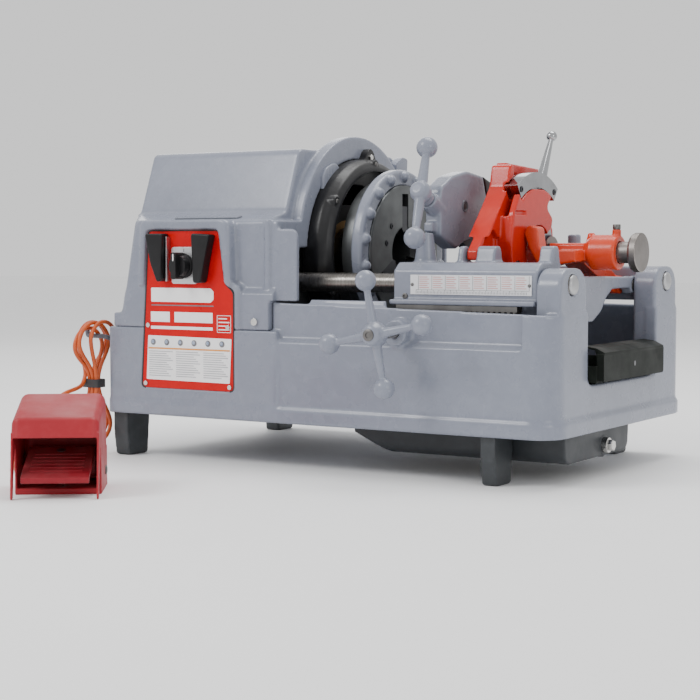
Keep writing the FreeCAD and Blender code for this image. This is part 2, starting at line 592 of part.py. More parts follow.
def cutter():
    x0, x1 = CUTTER_LEFT, CUTTER_RIGHT
    frame = slab("YZ", [(-143, 374, 6), (-91, 353, 8), (-66, 364, 6), (-34, 372, 4), (20, 424, 4),
                        (2, 473),
                        (-54, 480, 60), (-104, 470, 50), (-143, 450, 18)], x0, x1)
    frame = frame.fuse(slab("YZ", [(-157, 380, 3), (-140, 380), (-140, 396), (-157, 396, 3)], x0 + 4,
                            x1 - 8))
    frame = frame.fuse(screw_bar(24, 60, 15))
    frame = frame.cut(screw_slab(186, 202, 84, 260, 12))
    frame = frame.cut(screw_slab(190.7, 197.3, 126, 260, 22))
    frame = frame.cut(screw_bar(10, 90, 8 + RUNNING))
    put("cutter_frame", frame)

    ends = [polar(36, angle) for angle in (-48, 16, 80)]
    arm_edges = [(ends[2], (20, 424)), ((20, 424), (2, 473)), ((2, 473), (44, 460)),
                 ((44, 460), (76, 428)),
                 ((76, 428), (92, 392)), ((92, 392), (104, 350)), ((104, 350), (121, 329)),
                 ((121, 329), (148, 309)),
                 ((148, 309), (140, 280)), ((140, 280), (96, 286)), ((96, 286), (44, 302)),
                 ((44, 302), ends[0])]
    edges = [Part.makeLine(V(x0, *a), V(x0, *b)) for a, b in arm_edges]
    edges.append(Part.Arc(V(x0, *ends[0]), V(x0, *ends[1]), V(x0, *ends[2])).toShape())
    arm = Part.Face(Part.Wire(Part.__sortEdges__(edges))).extrude(V(x1 - x0, 0, 0))
    arm = arm.fuse(along_x(15, x0, x1, PIVOT_Y, PIVOT_Z))
    arm = arm.cut(along_x(PIVOT_RADIUS + RUNNING, x0 - 1, x1 + 1, PIVOT_Y, PIVOT_Z))
    for k, angle in enumerate((12, -38)):
        y, z = polar(42.5, angle)
        arm = arm.cut(along_x(12.5, 186, 202, y, z))
        arm = arm.fuse(along_x(4, x0, x1, y, z))
        put("cutter_roller_%d" % (k + 1), ring(11, 4 + RUNNING, 186.4, 201.6, y, z))
    put("cutter_roller_arm", arm)

    slide = screw_slab(186.4, 201.6, 112, 188, 11.6)
    slide = slide.cut(screw_slab(190.9, 197.1, 156, 200, 22))
    wheel_y, wheel_z = on_screw(REACH - 26)
    slide = slide.fuse(along_x(4, 186.4, 201.6, wheel_y, wheel_z))
    slide = slide.cut(screw_bar(100, 142, 8.3))
    put("cutter_slide", slide)
    put("cutter_wheel", turned([(191.4, 4 + RUNNING), (191.4, 13), (193.6, 20), (194.4, 20), (196.6, 13),
                                (196.6, 4 + RUNNING)], wheel_y, wheel_z))

    screw = screw_bar(-4, 114, 8)
    profile = [(-15, 0), (-15, 8), (-13, 13, 3), (-4, 17, 6), (6, 17, 6), (12, 13), (22, 13), (22, 0)]
    hub = Part.Face(outline("XZ", profile, 0)).revolve(V(0, 0, 0), V(1, 0, 0), 360)
    turn = FreeCAD.Rotation(V(1, 0, 0), V(0, DOWN_Y, DOWN_Z))
    hub.Placement = FreeCAD.Placement(V(194, HANDLE_Y, HANDLE_Z), turn)
    lean = math.radians(-7)
    across = V(math.sin(lean), -DOWN_Z * math.cos(lean), DOWN_Y * math.cos(lean))
    hub_centre = V(194, HANDLE_Y, HANDLE_Z)
    for side in (-1, 1):
        tip = hub_centre + across * (81 * side)
        foot = hub_centre + across * (8 * side)
        hub = hub.fuse(ball_bar(foot, tip, 9, 6.5, 17))
    put("cutter_feed_screw", screw.fuse(hub))


# ---- die head ----------------------------------------------------------------
def die_head():
    x0, x1 = DIE_LEFT, DIE_RIGHT
    plate_outline = [(-164, 336, 3), (-146, 336, 3), (-76, 342, 12), (-76, 300), (76, 300), (92, 340, 10),
                     (99, 368, 12),
                     (97, 386, 10), (79, 410, 10), (58, 428, 8), (62, 444), (52, 449.5), (18, 452),
                     (-22, 450.5),
                     (-47, 444), (-52, 490, 5), (-64, 486, 5), (-72, 452, 8), (-98, 421, 20),
                     (-122, 395, 20),
                     (-152, 362, 8), (-164, 350, 4)]
    body = slab("YZ", plate_outline, x0 + 4, x1 - 4)
    body = body.cut(block(x0, 265, -170, -100, 330, 372)).cut(block(284, x1, -170, -100, 330, 372))
    body = body.fuse(along_x(78, x0, x1))
    body = body.fuse(slab("YZ", [(40, 300), (60, 352), (118, 323), (148, 309), (140, 280), (60, 284)],
                          258, 288))
    body = body.fuse(along_x(15, 258, 288, PIVOT_Y, PIVOT_Z))
    bridge = slab("YZ", [(-52, 476), (60, 468), (60, 446), (84, 440), (98, 466, 8), (90, 486, 8),
                         (-46, 492)], 256, 274)
    body = body.fuse(bridge)
    cover = slab("YZ", [(-96, 312, 8), (-101, 366, 20), (-92, 410, 12), (-76, 436, 8), (-66, 450, 6),
                        (44, 450, 6),
                        (44, 436, 6), (29, 422, 8), (38, 414, 6), (52, 404, 8), (48, 388, 6),
                        (30, 378, 6), (40, 358, 10),
                        (30, 322, 12), (-10, 300, 20), (-70, 300, 20)], x1 + 6.5, x1 + 17)
    body = body.fuse(cover).fuse(slab("YZ", [(-97, 330), (-101, 366), (-97, 405), (-82, 405), (-82, 330)],
                                      x1 - 6, x1 + 8))
    arch = slab("YZ", [(-138, 344, 4), (-106, 344, 4), (-106, 372, 6), (-122, 386, 8), (-138, 366, 6)],
                281, x1)
    body = body.cut(arch).cut(block(x1 + 13, x1 + 20, -88, -50, 408, 414))
    body = body.cut(along_x(44, x0 - 1, x1 + 25))
    for k in range(4):
        slot = block(266, 280, -9, 9, AXIS_Z + 30, AXIS_Z + 74)
        body = body.cut(spin_x(slot, 45 + 90 * k))
        die = slab("YZ", [(-8.6, AXIS_Z + 40), (-4, AXIS_Z + 33.5), (4, AXIS_Z + 33.5),
                          (8.6, AXIS_Z + 40),
                          (8.6, AXIS_Z + 69.5), (-8.6, AXIS_Z + 69.5)], 266.4, 279.6)
        put("thread_die_%d" % (k + 1), spin_x(die, 45 + 90 * k))
    body = body.cut(along_x(PIVOT_RADIUS + RUNNING, x0, x1, PIVOT_Y, PIVOT_Z))
    body = body.cut(sector(131, 103.5, 283.6, x1 + 20, 28, 128))
    put("die_head_body", body)

    cam = ring(76, 50, x1 + 0.4, x1 + 6)
    web = sector(108, 70, x1 + 0.4, x1 + 6, 62, 100)
    saddle = sector(129.5, 105, 284.4, x1 + 14, 54, 125)
    base = polar(124, 74)
    tip = (291, 87, 541)
    lever = ball_bar((297, base[0], base[1]), tip, 9, 4.2, 9)
    put("throwout_lever", cam.fuse([web, saddle, lever]))


def sector(outer, inner, x0, x1, start, end):
    """Part of a ring about the spindle axis, between two angles from +Y."""
    middle = (start + end) / 2
    rims = []
    for radius, a, b in ((outer, start, end), (inner, end, start)):
        spots = [V(x0, *polar(radius, angle)) for angle in (a, middle, b)]
        rims.append((Part.Arc(*spots).toShape(), spots[0], spots[2]))
    edges = [rims[0][0], Part.makeLine(rims[0][2], rims[1][1]), rims[1][0], Part.makeLine(rims[1][2],
                                                                                          rims[0][1])]
    return Part.Face(Part.Wire(edges)).extrude(V(x1 - x0, 0, 0))


# ---- reamer -------------------------------------------------------------------
def reamer():
    left, right = REAMER_LEFT, REAMER_RIGHT
    body = slab("YZ", [(-17, 332, 5), (17, 332, 5), (17, 363, 5), (-17, 363, 5)], left, 424)
    body = body.fuse(turned([(398, 0), (398, 21), (407, 28, 4), (right - 3, 28, 2), (right, 25),
                             (right, 0)]))
    body = body.fuse(slab("XZ", [(312, 378, 7), (318, 392, 7), (334, 388, 7), (338, 356, 10),
                                 (352, 344, 6), (372, 352),
                                 (400, 352), (400, 334), (352, 325, 6), (334, 332, 10), (322, 352, 12)],
                                 -58, -30))
    body = body.fuse(block(346, 400, -32, -14, 335, 351))
    body = body.fuse(slab("YZ", [(10, 332), (12, 360, 4), (70, 352, 20), (118, 323), (148, 309),
                                 (140, 280), (96, 296, 20)],
                          346, 384))
    body = body.fuse(along_x(15, 330, 392, PIVOT_Y, PIVOT_Z))
    body = body.fuse(bar((402, 0, 352), (402, 0, 379), 12, 5))
    body = body.fuse(bar((445, 0, 372), (445, 0, 384), 7))
    body = body.cut(along_x(10 + RUNNING, left - 1, 500))
    body = body.cut(along_x(17.4, 430, 500))
    body = body.cut(along_x(PIVOT_RADIUS + RUNNING, 320, 400, PIVOT_Y, PIVOT_Z))
    put("reamer_arm", body)
    bar_profile = [(311.6, 0), (311.6, 9), (332, 26, 1), (334.5, 26), (334.5, 10), (451, 10), (451, 17),
                   (474, 17), (474, 29, 1),
                   (478, 31, 1), (488, 31, 2), (490, 0)]
    steel = turned(bar_profile)
    for k in range(5):
        flute = spin_x(block(306, 333, -1.6, 1.6, AXIS_Z + 9, AXIS_Z + 28), 72 * k)
        steel = steel.cut(flute)
    put("reamer_bar", steel)


# ---- controls, tank, tray -------------------------------------------------------
def controls():
    back = PANEL_Y + 3
    panel = slab("XZ", grown_panel(0), PANEL_Y, back)
    put("control_plate", panel.cut(bar((SWITCH_X, PANEL_Y - 1, SWITCH_Z), (SWITCH_X, back + 1, SWITCH_Z),
                                       7)))
    face = plate_xz(-232, -180, 296, 357, PANEL_Y - 5, PANEL_Y, 5)
    guards = [face.cut(bar((SWITCH_X, PANEL_Y - 6, SWITCH_Z), (SWITCH_X, PANEL_Y + 1, SWITCH_Z), 7))]
    for a, b in ((-276, -246), (-170, -140)):
        outer = [(a, 300, 4), (b, 300, 4), (b - 2, 379, 6), (a + 2, 379, 6)]
        guards.append(slab("XZ", outer, PANEL_Y - 20, PANEL_Y))
    put("switch_bezel", Part.makeCompound(guards))
    knob = bar((SWITCH_X, PANEL_Y - 24, SWITCH_Z), (SWITCH_X, PANEL_Y - 5.4, SWITCH_Z), 17, 19)
    grip = plate_xz(SWITCH_X - 5, SWITCH_X + 5, SWITCH_Z - 22, SWITCH_Z + 22, PANEL_Y - 34, PANEL_Y - 10,
                    4)
    stem = bar((SWITCH_X, PANEL_Y - 12, SWITCH_Z), (SWITCH_X, PANEL_Y + 6, SWITCH_Z), 6.6)
    put("selector_knob", knob.fuse([grip, stem]))


def plate_xz(x0, x1, z0, z1, y0, y1, radius):
    corners = [(x0, z0, radius), (x1, z0, radius), (x1, z1, radius), (x0, z1, radius)]
    return slab("XZ", corners, y0, y1)


def tank_and_tray():
    tank = slab("YZ", [(-190, LIP_TOP), (-186, 30, 18), (58, 30, 18), (62, LIP_TOP)], 74, 444)
    inner = slab("YZ", [(-187, LIP_TOP + 1), (-183, 33, 15), (55, 33, 15), (59, LIP_TOP + 1)], 77, 441)
    tank = tank.cut(slab("XZ", [(70, 29), (140, 29), (70, 62)], -200, 70))
    inner = inner.cut(slab("XZ", [(70, 25), (156, 25), (70, 66)], -200, 70))
    tank = tank.cut(inner)
    tank = tank.cut(bar((430, -40, 47), (460, -40, 47), 8))
    put("oil_tank", tank)
    plug = bar((440, -40, 47), (445, -40, 47), 7.98).fuse(bar((444, -40, 47), (453, -40, 47), 12))
    put("drain_plug", plug)
    tray = block(170, 466, -122, 122, 150.4, 176).cut(block(173, 463, -119, 119, 153, 200))
    tray = tray.fuse(plate_yz(-118, 128, 152, 196, 464, 476, 5))
    for x in range(200, 450, 50):
        for y in (-70, -25, 20, 65):
            tray = tray.cut(bar((x, y, 148), (x, y, 156), 6))
    put("chip_tray", tray)


def plate_yz(y0, y1, z0, z1, x0, x1, radius):
    corners = [(y0, z0, radius), (y1, z0, radius), (y1, z1, radius), (y0, z1, radius)]
    return slab("YZ", corners, x0, x1)


# ---- foot switch ------------------------------------------------------------------
def placed(shape):
    """From the foot switch's own frame (front edge centre, +Y to its back) to the machine's."""
    shape.rotate(V(0, 0, 0), V(0, 0, 1), PEDAL_TURN)
    shape.translate(V(PEDAL_X, PEDAL_Y, 0))
    return shape


def hollow_section(inset):
    """Profile of the foot switch's cover, seen from its side."""
    return [(11 + inset / 2, 86), (23 + inset, 114 - inset, 8), (150 - inset, 144 - inset, 20),
            (160 - inset, 9), (60, 9), (44, 86)]


def foot_switch():
    solid = slab("YZ", hollow_section(0), -62, 62)
    shaped = rounded_cover(solid, 12)
    inner = rounded_cover(slab("YZ", hollow_section(3)[:-3] + [(157, 5), (58, 5), (0, 84)], -59, 59), 9)
    guard = shaped.cut(inner)
    for side in (-1, 1):
        x0, x1 = sorted((side * 59, side * 62))
        leg = [(2, 0, 3), (14, 0, 3), (28, 48), (48, 76, 6), (60, 30), (60, 94), (18, 94)]
        guard = guard.fuse(slab("YZ", leg, x0, x1))
        guard = guard.fuse(slab("YZ", [(56, 9), (159, 9), (159, 60), (56, 60)], x0, x1))
        guard = guard.fuse(block(side * 55 - 4, side * 55 + 4, 118, 134, 8, 34))
    guard = guard.fuse(block(-62, 62, 56, 160, 0, 9))
    guard = guard.cut(bar((-63, 126, 26), (63, 126, 26), 4 + RUNNING))
    guard = guard.cut(bar((0, 150, 20), (0, 162, 20), 6))
    put("foot_switch_guard", placed(guard))
    pedal = slab("YZ", [(10, 22, 3), (10, 30, 3), (20, 35, 6), (112, 62, 5), (134, 62, 8), (134, 18, 6),
                        (118, 18, 4),
                        (118, 51, 3), (104, 51, 3), (24, 28, 4), (18, 22, 3)], -48, 48)
    pedal = pedal.cut(bar((-63, 126, 26), (63, 126, 26), 4 + RUNNING))
    pedal = pedal.cut(bar((0, 80, 10), (0, 80, SPRING_TOP + 0.1), 8))
    put("foot_pedal", placed(pedal))
    put("pedal_pin", placed(bar((-61, 126, 26), (61, 126, 26), 4)))
    put("pedal_spring", placed(bar((0, 80, 9), (0, 80, SPRING_TOP), 6)))


def rounded_cover(shape, radius):
    """The cover with its long upper corners rounded."""
    edges = []
    for edge in shape.Edges:
        ends = [v.Point for v in edge.Vertexes]
        if len(ends) < 2 or edge.Length < 40:
            continue
        if abs(ends[0].x - ends[1].x) < 1 and min(e.z for e in ends) > 70:
            edges.append(edge)
    return shape.makeFillet(radius, edges)


# ---- cord ---------------------------------------------------------------------------
def cords():
    gland = bar((-377, -105, 196), (-373.5, -105, 196), 11).fuse(bar((-374, -105, 196), (-363.2, -105,
                                                                                         196), 7))
    hook = bar((-356, HOOK_Y, HOOK_Z), (-420, HOOK_Y, HOOK_Z), 5).fuse(ball((-420, HOOK_Y, HOOK_Z), 5))
    hook = hook.fuse(bar((-420, HOOK_Y, HOOK_Z), (-420, HOOK_Y, HOOK_Z + 16), 5))
    hook = hook.cut(PARTS["base_casting"])
    grip = placed(bar((0, 150.1, 20), (0, 172, 20), 5.9, 5))
    put("cord_fittings", Part.makeCompound([gland, hook, grip]))
    shape = [(-322, 190, 40), (-300, 235, 34), (-228, 235, 34), (-226, 180, 30), (-258, 124, 30),
             (-232, 70, 30),
             (-238, 20, 26), (-300, 20, 26), (-306, 70, 30), (-292, 124, 30)]
    hank = slab("YZ", shape, HANK_X - HANK_HALF, HANK_X + HANK_HALF)
    put("foot_cord_hank", hank.cut(bar((-340, HOOK_Y, HOOK_Z), (-440, HOOK_Y, HOOK_Z), 5.4)))
    cord("foot_cord_lead", CORD_LEAD, CORD_RADIUS)
    cord("foot_cord_run", CORD_RUN, CORD_RADIUS)


BUILDERS = (base_casting, hood, hood_screws, headstock, shroud, drive, spindle, carriage, feed_wheel,
            cutter, die_head, reamer, controls, tank_and_tray, foot_switch, cords)


def main():
    os.makedirs("parts", exist_ok=True)
    for build in BUILDERS:
        build()
    put("stand_feet", stand_feet_shape())
    for name, shape in PARTS.items():
        if not shape.isValid() or not shape.Solids:
            print("INVALID", name, len(shape.Solids))
        shape.exportStep("parts/%s.step" % name)
        print("%-20s solids %d volume %.0f" % (name, len(shape.Solids), shape.Volume))


main()
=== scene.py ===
import math

import bmesh
import bpy
from mathutils import Matrix, Vector


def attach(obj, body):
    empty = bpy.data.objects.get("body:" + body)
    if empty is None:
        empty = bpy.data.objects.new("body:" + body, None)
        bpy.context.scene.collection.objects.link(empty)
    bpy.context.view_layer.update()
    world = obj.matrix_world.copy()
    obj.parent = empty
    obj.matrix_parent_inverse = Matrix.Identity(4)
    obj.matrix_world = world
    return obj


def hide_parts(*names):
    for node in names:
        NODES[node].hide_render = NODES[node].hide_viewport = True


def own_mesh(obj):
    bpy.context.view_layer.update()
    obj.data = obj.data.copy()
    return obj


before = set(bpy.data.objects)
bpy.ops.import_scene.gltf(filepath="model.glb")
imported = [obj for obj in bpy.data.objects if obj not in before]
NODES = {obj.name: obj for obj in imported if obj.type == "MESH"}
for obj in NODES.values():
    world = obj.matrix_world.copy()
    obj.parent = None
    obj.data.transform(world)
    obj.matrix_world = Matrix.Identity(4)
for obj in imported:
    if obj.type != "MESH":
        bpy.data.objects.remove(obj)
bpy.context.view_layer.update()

MM = 0.001
AXIS_Z = 348.0                     # spindle axis height
RAIL_Y, RAIL_Z = 189, 300          # carriage rails
RAIL_CAP_X = 455.8                 # outer face of the right end wall's bosses
FEED_X, FEED_Z = 199, 226          # shaft of the feed hand wheel
SWITCH_X, SWITCH_Z = -206, 326     # centre of the selector
DRAIN_Y, DRAIN_Z = -40, 47         # drain plug of the oil tank
GLAND = (-373.6, -105, 196)        # where the cord leaves the base
GRIP = (-206.2, -559.6, 20)        # where the cord enters the foot switch
SCALE_FACE_Y = -225.9              # front of the printed scale
SADDLE_FACE_X = 307.8              # right face of the lever's saddle
COVER_FACE_X = 310.7               # right face of the die head's cover
MERGE = 1e-5                       # vertices nearer than this are one, in metres
MOST_FACES = 150000                # triangles in one casting
TURN = 2 * math.pi


def m(*v):
    return Vector(v) * MM


# ---- materials ------------------------------------------------------------------
class Surface:
    """A Principled material built up in layers over the piece's own coordinates."""

    def __init__(self, name, colour, metallic=0.0, specular=0.5, coat=0.0, coat_rough=0.1):
        self.material = bpy.data.materials.new(name)
        self.material.use_nodes = True
        self.tree = self.material.node_tree
        self.shader = self.tree.nodes["Principled BSDF"]
        self.shader.inputs["Metallic"].default_value = metallic
        self.shader.inputs["Specular IOR Level"].default_value = specular
        self.shader.inputs["Coat Weight"].default_value = coat
        self.shader.inputs["Coat Roughness"].default_value = coat_rough
        self.place = self.node("ShaderNodeTexCoord").outputs["Object"]
        self.colour = (*colour, 1.0)
        self.normal = None
        self.shader.inputs["Base Color"].default_value = self.colour

    def node(self, kind, **settings):
        made = self.tree.nodes.new(kind)
        for key, value in settings.items():
            setattr(made, key, value)
        return made

    def noise(self, scale, detail=4.0, rough=0.55, stretch=None):
        made = self.node("ShaderNodeTexNoise")
        made.inputs["Scale"].default_value = scale
        made.inputs["Detail"].default_value = detail
        made.inputs["Roughness"].default_value = rough
        source = self.place
        if stretch:
            mapping = self.node("ShaderNodeMapping")
            mapping.inputs["Scale"].default_value = stretch
            self.tree.links.new(self.place, mapping.inputs["Vector"])
            source = mapping.outputs["Vector"]
        self.tree.links.new(source, made.inputs["Vector"])
        return made.outputs["Fac"]

    def ramp(self, value, low, high, to_low=0.0, to_high=1.0):
        made = self.node("ShaderNodeMapRange")
        made.inputs["From Min"].default_value = low
        made.inputs["From Max"].default_value = high
        made.inputs["To Min"].default_value = to_low
        made.inputs["To Max"].default_value = to_high
        self.tree.links.new(value, made.inputs["Value"])
        return made.outputs["Result"]

    def times(self, a, b):
        made = self.node("ShaderNodeMath", operation="MULTIPLY")
        self.tree.links.new(a, made.inputs[0])
        self.tree.links.new(b, made.inputs[1])
        return made.outputs[0]

    def tint(self, colour, share):
        """Mixes a colour over what is there, by a share from 0 to 1."""
        made = self.node("ShaderNodeMix", data_type="RGBA")
        if isinstance(self.colour, tuple):
            made.inputs["A"].default_value = self.colour
        else:
            self.tree.links.new(self.colour, made.inputs["A"])
        made.inputs["B"].default_value = (*colour, 1.0)
        self.tree.links.new(share, made.inputs["Factor"])
        self.colour = made.outputs["Result"]
        self.tree.links.new(self.colour, self.shader.inputs["Base Color"])
        return self

    def mottle(self, scale, colour, low=0.35, high=0.7, most=1.0):
        return self.tint(colour, self.ramp(self.noise(scale), low, high, 0, most))

    def edges(self, colour, low=0.53, high=0.62, most=0.5):
        """Painted highlight on convex edges, broken up by noise."""
        sharp = self.ramp(self.node("ShaderNodeNewGeometry").outputs["Pointiness"], low, high)
        patchy = self.ramp(self.noise(45), 0.42, 0.62, 0, most)
        return self.tint(colour, self.times(sharp, patchy))

    def painted_corner_shade(self, colour, low=0.47, high=0.40, most=0.6):
        """Painted shade in concave corners."""
        deep = self.ramp(self.node("ShaderNodeNewGeometry").outputs["Pointiness"], low, high)
        patchy = self.ramp(self.noise(30), 0.3, 0.6, most * 0.4, most)
        return self.tint(colour, self.times(deep, patchy))

    def dust(self, colour, most=0.2):
        """Dust on what faces up."""
        split = self.node("ShaderNodeSeparateXYZ")
        self.tree.links.new(self.node("ShaderNodeNewGeometry").outputs["Normal"], split.inputs[0])
        up = self.ramp(split.outputs["Z"], 0.5, 1.0)
        return self.tint(colour, self.times(up, self.ramp(self.noise(22), 0.35, 0.7, 0, most)))

    def rough(self, low, high, scale=18, stretch=None):
        made = self.ramp(self.noise(scale, stretch=stretch), 0.3, 0.7, low, high)
        self.tree.links.new(made, self.shader.inputs["Roughness"])
        return self

    def bump(self, scale, height, strength=1.0, stretch=None, detail=3.0):
        made = self.node("ShaderNodeBump")
        made.inputs["Strength"].default_value = strength
        made.inputs["Distance"].default_value = height * MM
        self.tree.links.new(self.noise(scale, detail, stretch=stretch), made.inputs["Height"])
        if self.normal:
            self.tree.links.new(self.normal, made.inputs["Normal"])
        self.normal = made.outputs["Normal"]
        self.tree.links.new(self.normal, self.shader.inputs["Normal"])
        return self


def casting_paint(name, colour, shade, light, low, high, grit=0.05, orange_peel=0.10, coat=0.0,
                  specular=0.4):
    s = Surface(name, colour, coat=coat, coat_rough=0.18, specular=specular)
    s.mottle(6, shade, 0.4, 0.75, 0.4).mottle(70, light, 0.45, 0.75, 0.14)
    # Painted highlight: the light colour on convex edges.
    # Painted shade: a darker copy of the colour in concave corners.
    s.painted_corner_shade([c * 0.3 for c in colour], most=0.8).edges(light, most=0.6).dust((0.62, 0.61, 0.58), 0.08)
    s.rough(low, high).bump(260, orange_peel, 0.55).bump(1400, grit, 0.35)
    return s.material


def steel(name, colour, dark, low, high, stretch=None, scratch=0.03, metallic=1.0):
    s = Surface(name, colour, metallic=metallic)
    s.mottle(30, dark, 0.4, 0.75, 0.6)
    s.tint(dark, s.ramp(s.noise(9, 3, stretch=stretch), 0.35, 0.7, 0, 0.5))
    s.rough(low, high, 40, stretch)
    s.bump(18 if stretch else 500, scratch, 0.5, stretch)
    return s.material


def plain(name, colour, shade, low, high, grain=600, height=0.05, specular=0.5, coat=0.0, scale=40):
    s = Surface(name, colour, specular=specular, coat=coat)
    s.mottle(scale, shade, 0.35, 0.7, 0.8).rough(low, high).bump(grain, height, 0.5)
    return s.material


ROUND_X = (70, 0.6, 0.6)           # turning marks about X

GREY = casting_paint("grey_enamel", (0.212, 0.229, 0.284), (0.18, 0.196, 0.246), (0.35, 0.37, 0.44), 0.2,
                     0.34, coat=0.25)
GREY_DARK = casting_paint("grey_enamel_shaded", (0.10, 0.108, 0.13), (0.08, 0.088, 0.105),
                          (0.2, 0.21, 0.25), 0.34, 0.5)
FEET = casting_paint("feet_enamel", (0.036, 0.040, 0.044), (0.026, 0.030, 0.033), (0.11, 0.12, 0.13), 0.38,
                     0.54)
IRON = casting_paint("raw_iron", (0.06, 0.06, 0.063), (0.04, 0.038, 0.038), (0.12, 0.115, 0.11), 0.5, 0.7,
                     0.12, 0.2)
ORANGE = casting_paint("orange_enamel", (0.54, 0.014, 0.003), (0.40, 0.008, 0.002), (0.8, 0.06, 0.015),
                       0.14, 0.28, 0.02, 0.12, 0.2, 0.35)
REAMER = casting_paint("reamer_enamel", (0.62, 0.048, 0.012), (0.48, 0.030, 0.008), (0.85, 0.13, 0.05),
                       0.18, 0.34, 0.03, 0.12, 0.15, 0.35)
BLACK = casting_paint("black_enamel", (0.009, 0.009, 0.010), (0.005, 0.005, 0.006), (0.05, 0.05, 0.055),
                      0.26, 0.42, specular=0.35)
TANK = casting_paint("tank_enamel", (0.036, 0.040, 0.045), (0.026, 0.029, 0.032), (0.09, 0.095, 0.10), 0.32,
                     0.5, specular=0.3)
TRAY = casting_paint("tray_enamel", (0.010, 0.012, 0.010), (0.006, 0.008, 0.006), (0.04, 0.05, 0.04), 0.42,
                     0.58, specular=0.12)
FOOT_RED = casting_paint("foot_red", (0.34, 0.016, 0.024), (0.26, 0.010, 0.017), (0.5, 0.07, 0.08), 0.36,
                         0.52, 0.04, specular=0.3)
PEDAL_RED = casting_paint("pedal_red", (0.24, 0.007, 0.015), (0.15, 0.005, 0.01), (0.42, 0.04, 0.05), 0.38,
                          0.55, specular=0.3)
RAIL = steel("ground_rail", (0.27, 0.255, 0.235), (0.10, 0.09, 0.08), 0.2, 0.42, ROUND_X)
TURNED = steel("turned_steel", (0.5, 0.48, 0.45), (0.27, 0.25, 0.23), 0.24, 0.42, ROUND_X)
DULL = steel("dull_steel", (0.20, 0.195, 0.19), (0.09, 0.085, 0.08), 0.36, 0.55, None, 0.06)
OILY = steel("oily_steel", (0.075, 0.078, 0.085), (0.035, 0.035, 0.04), 0.24, 0.42, None, 0.05, 0.85)
BRIGHT = steel("bright_steel", (0.72, 0.71, 0.69), (0.5, 0.49, 0.47), 0.14, 0.3)
CHROME = steel("chrome_plate", (0.40, 0.405, 0.415), (0.22, 0.225, 0.235), 0.06, 0.18, None, 0.02)
KNOB = steel("knob_steel", (0.27, 0.248, 0.235), (0.16, 0.146, 0.135), 0.3, 0.48, None, 0.05)
BRONZE = steel("bearing_bronze", (0.58, 0.37, 0.16), (0.36, 0.22, 0.1), 0.3, 0.5, ROUND_X)
SILVER = steel("silver_plate", (0.62, 0.62, 0.63), (0.45, 0.45, 0.46), 0.28, 0.42, (60, 1, 0.5))
RED = plain("red_panel", (0.56, 0.0, 0.002), (0.48, 0.0, 0.002), 0.26, 0.4, 300, 0.03, specular=0.2)
WHITE = plain("white_print", (0.93, 0.93, 0.93), (0.86, 0.86, 0.87), 0.3, 0.42, 500, 0.02)
DOTTED = plain("orange_print", (0.75, 0.30, 0.04), (0.65, 0.22, 0.03), 0.3, 0.42, 500, 0.02)
INK = plain("grey_print", (0.18, 0.18, 0.19), (0.10, 0.10, 0.11), 0.35, 0.5, 500, 0.02)
PLASTIC = plain("black_plastic", (0.006, 0.006, 0.007), (0.011, 0.011, 0.012), 0.34, 0.5, 900, 0.08,
                specular=0.3)
RUBBER = plain("black_rubber", (0.02, 0.02, 0.02), (0.035, 0.034, 0.033), 0.55, 0.75, 700, 0.1)
JACKET = plain("cord_jacket", (0.60, 0.105, 0.018), (0.44, 0.065, 0.012), 0.34, 0.52, 900, 0.06, scale=60)
PRINT_GREY = plain("pale_grey_print", (0.42, 0.43, 0.46), (0.34, 0.35, 0.38), 0.35, 0.5, 500, 0.02)
PRINT_BLUE = plain("blue_print", (0.20, 0.27, 0.42), (0.5, 0.53, 0.58), 0.35, 0.5, 500, 0.02, scale=300)
PRINT_RED = plain("red_print", (0.62, 0.30, 0.30), (0.52, 0.24, 0.24), 0.35, 0.5, 500, 0.02)
SCALE = plain("scale_face", (0.74, 0.74, 0.76), (0.66, 0.66, 0.68), 0.25, 0.4, 400, 0.02, coat=0.2)
CHUCK = steel("chuck_face", (0.15, 0.158, 0.16), (0.085, 0.088, 0.09), 0.34, 0.52, None, 0.05, 0.8)
CAP = steel("rail_cap_zinc", (0.46, 0.46, 0.465), (0.36, 0.36, 0.365), 0.34, 0.5, None, 0.02)
TIE = plain("cord_tie", (0.03, 0.03, 0.032), (0.05, 0.05, 0.05), 0.4, 0.6, 800, 0.05)
FLOOR = plain("pale_floor", (0.96, 0.96, 0.96), (0.95, 0.95, 0.95), 0.55, 0.65, 60, 0.01, specular=0.2,
              scale=4)


# ---- making pieces ----------------------------------------------------------------
def link(name, mesh, material=None):
    piece = bpy.data.objects.new(name, mesh)
    bpy.context.scene.collection.objects.link(piece)
    if material:
        mesh.materials.clear()
        mesh.materials.append(material)
    return piece


def applied(piece):
    """The piece's mesh with its modifiers worked out, in its place."""
    bpy.context.view_layer.update()
    graph = bpy.context.evaluated_depsgraph_get()
    mesh = bpy.data.meshes.new_from_object(piece.evaluated_get(graph))
    old = piece.data
    piece.modifiers.clear()
    piece.data = mesh
    bpy.data.meshes.remove(old)
    mesh.name = piece.name
    return piece


def modifier(piece, kind, **settings):
    made = piece.modifiers.new(kind.lower(), kind)
    for key, value in settings.items():
        setattr(made, key, value)
    return made


def cast(node, material, body, slot, voxel, smooth):
    """A cast piece in the place of a CAD node, its edges and corners softened."""
    mesh = NODES[node].data.copy()
    piece = link(node + "_cast", mesh, material)
    weld = bmesh.new()
    weld.from_mesh(mesh)
    bmesh.ops.remove_doubles(weld, verts=weld.verts, dist=MERGE)
    weld.to_mesh(mesh)
    weld.free()
    modifier(piece, "REMESH", mode="VOXEL", voxel_size=voxel * MM, use_smooth_shade=True)
    modifier(piece, "SMOOTH", factor=0.5, iterations=smooth)
    applied(piece)
    count = sum(len(p.vertices) - 2 for p in piece.data.polygons)
    if count > MOST_FACES:
        modifier(piece, "DECIMATE", ratio=MOST_FACES / count)
        applied(piece)
    for p in piece.data.polygons:
        p.use_smooth = True
    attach(piece, body)
    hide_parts(node)


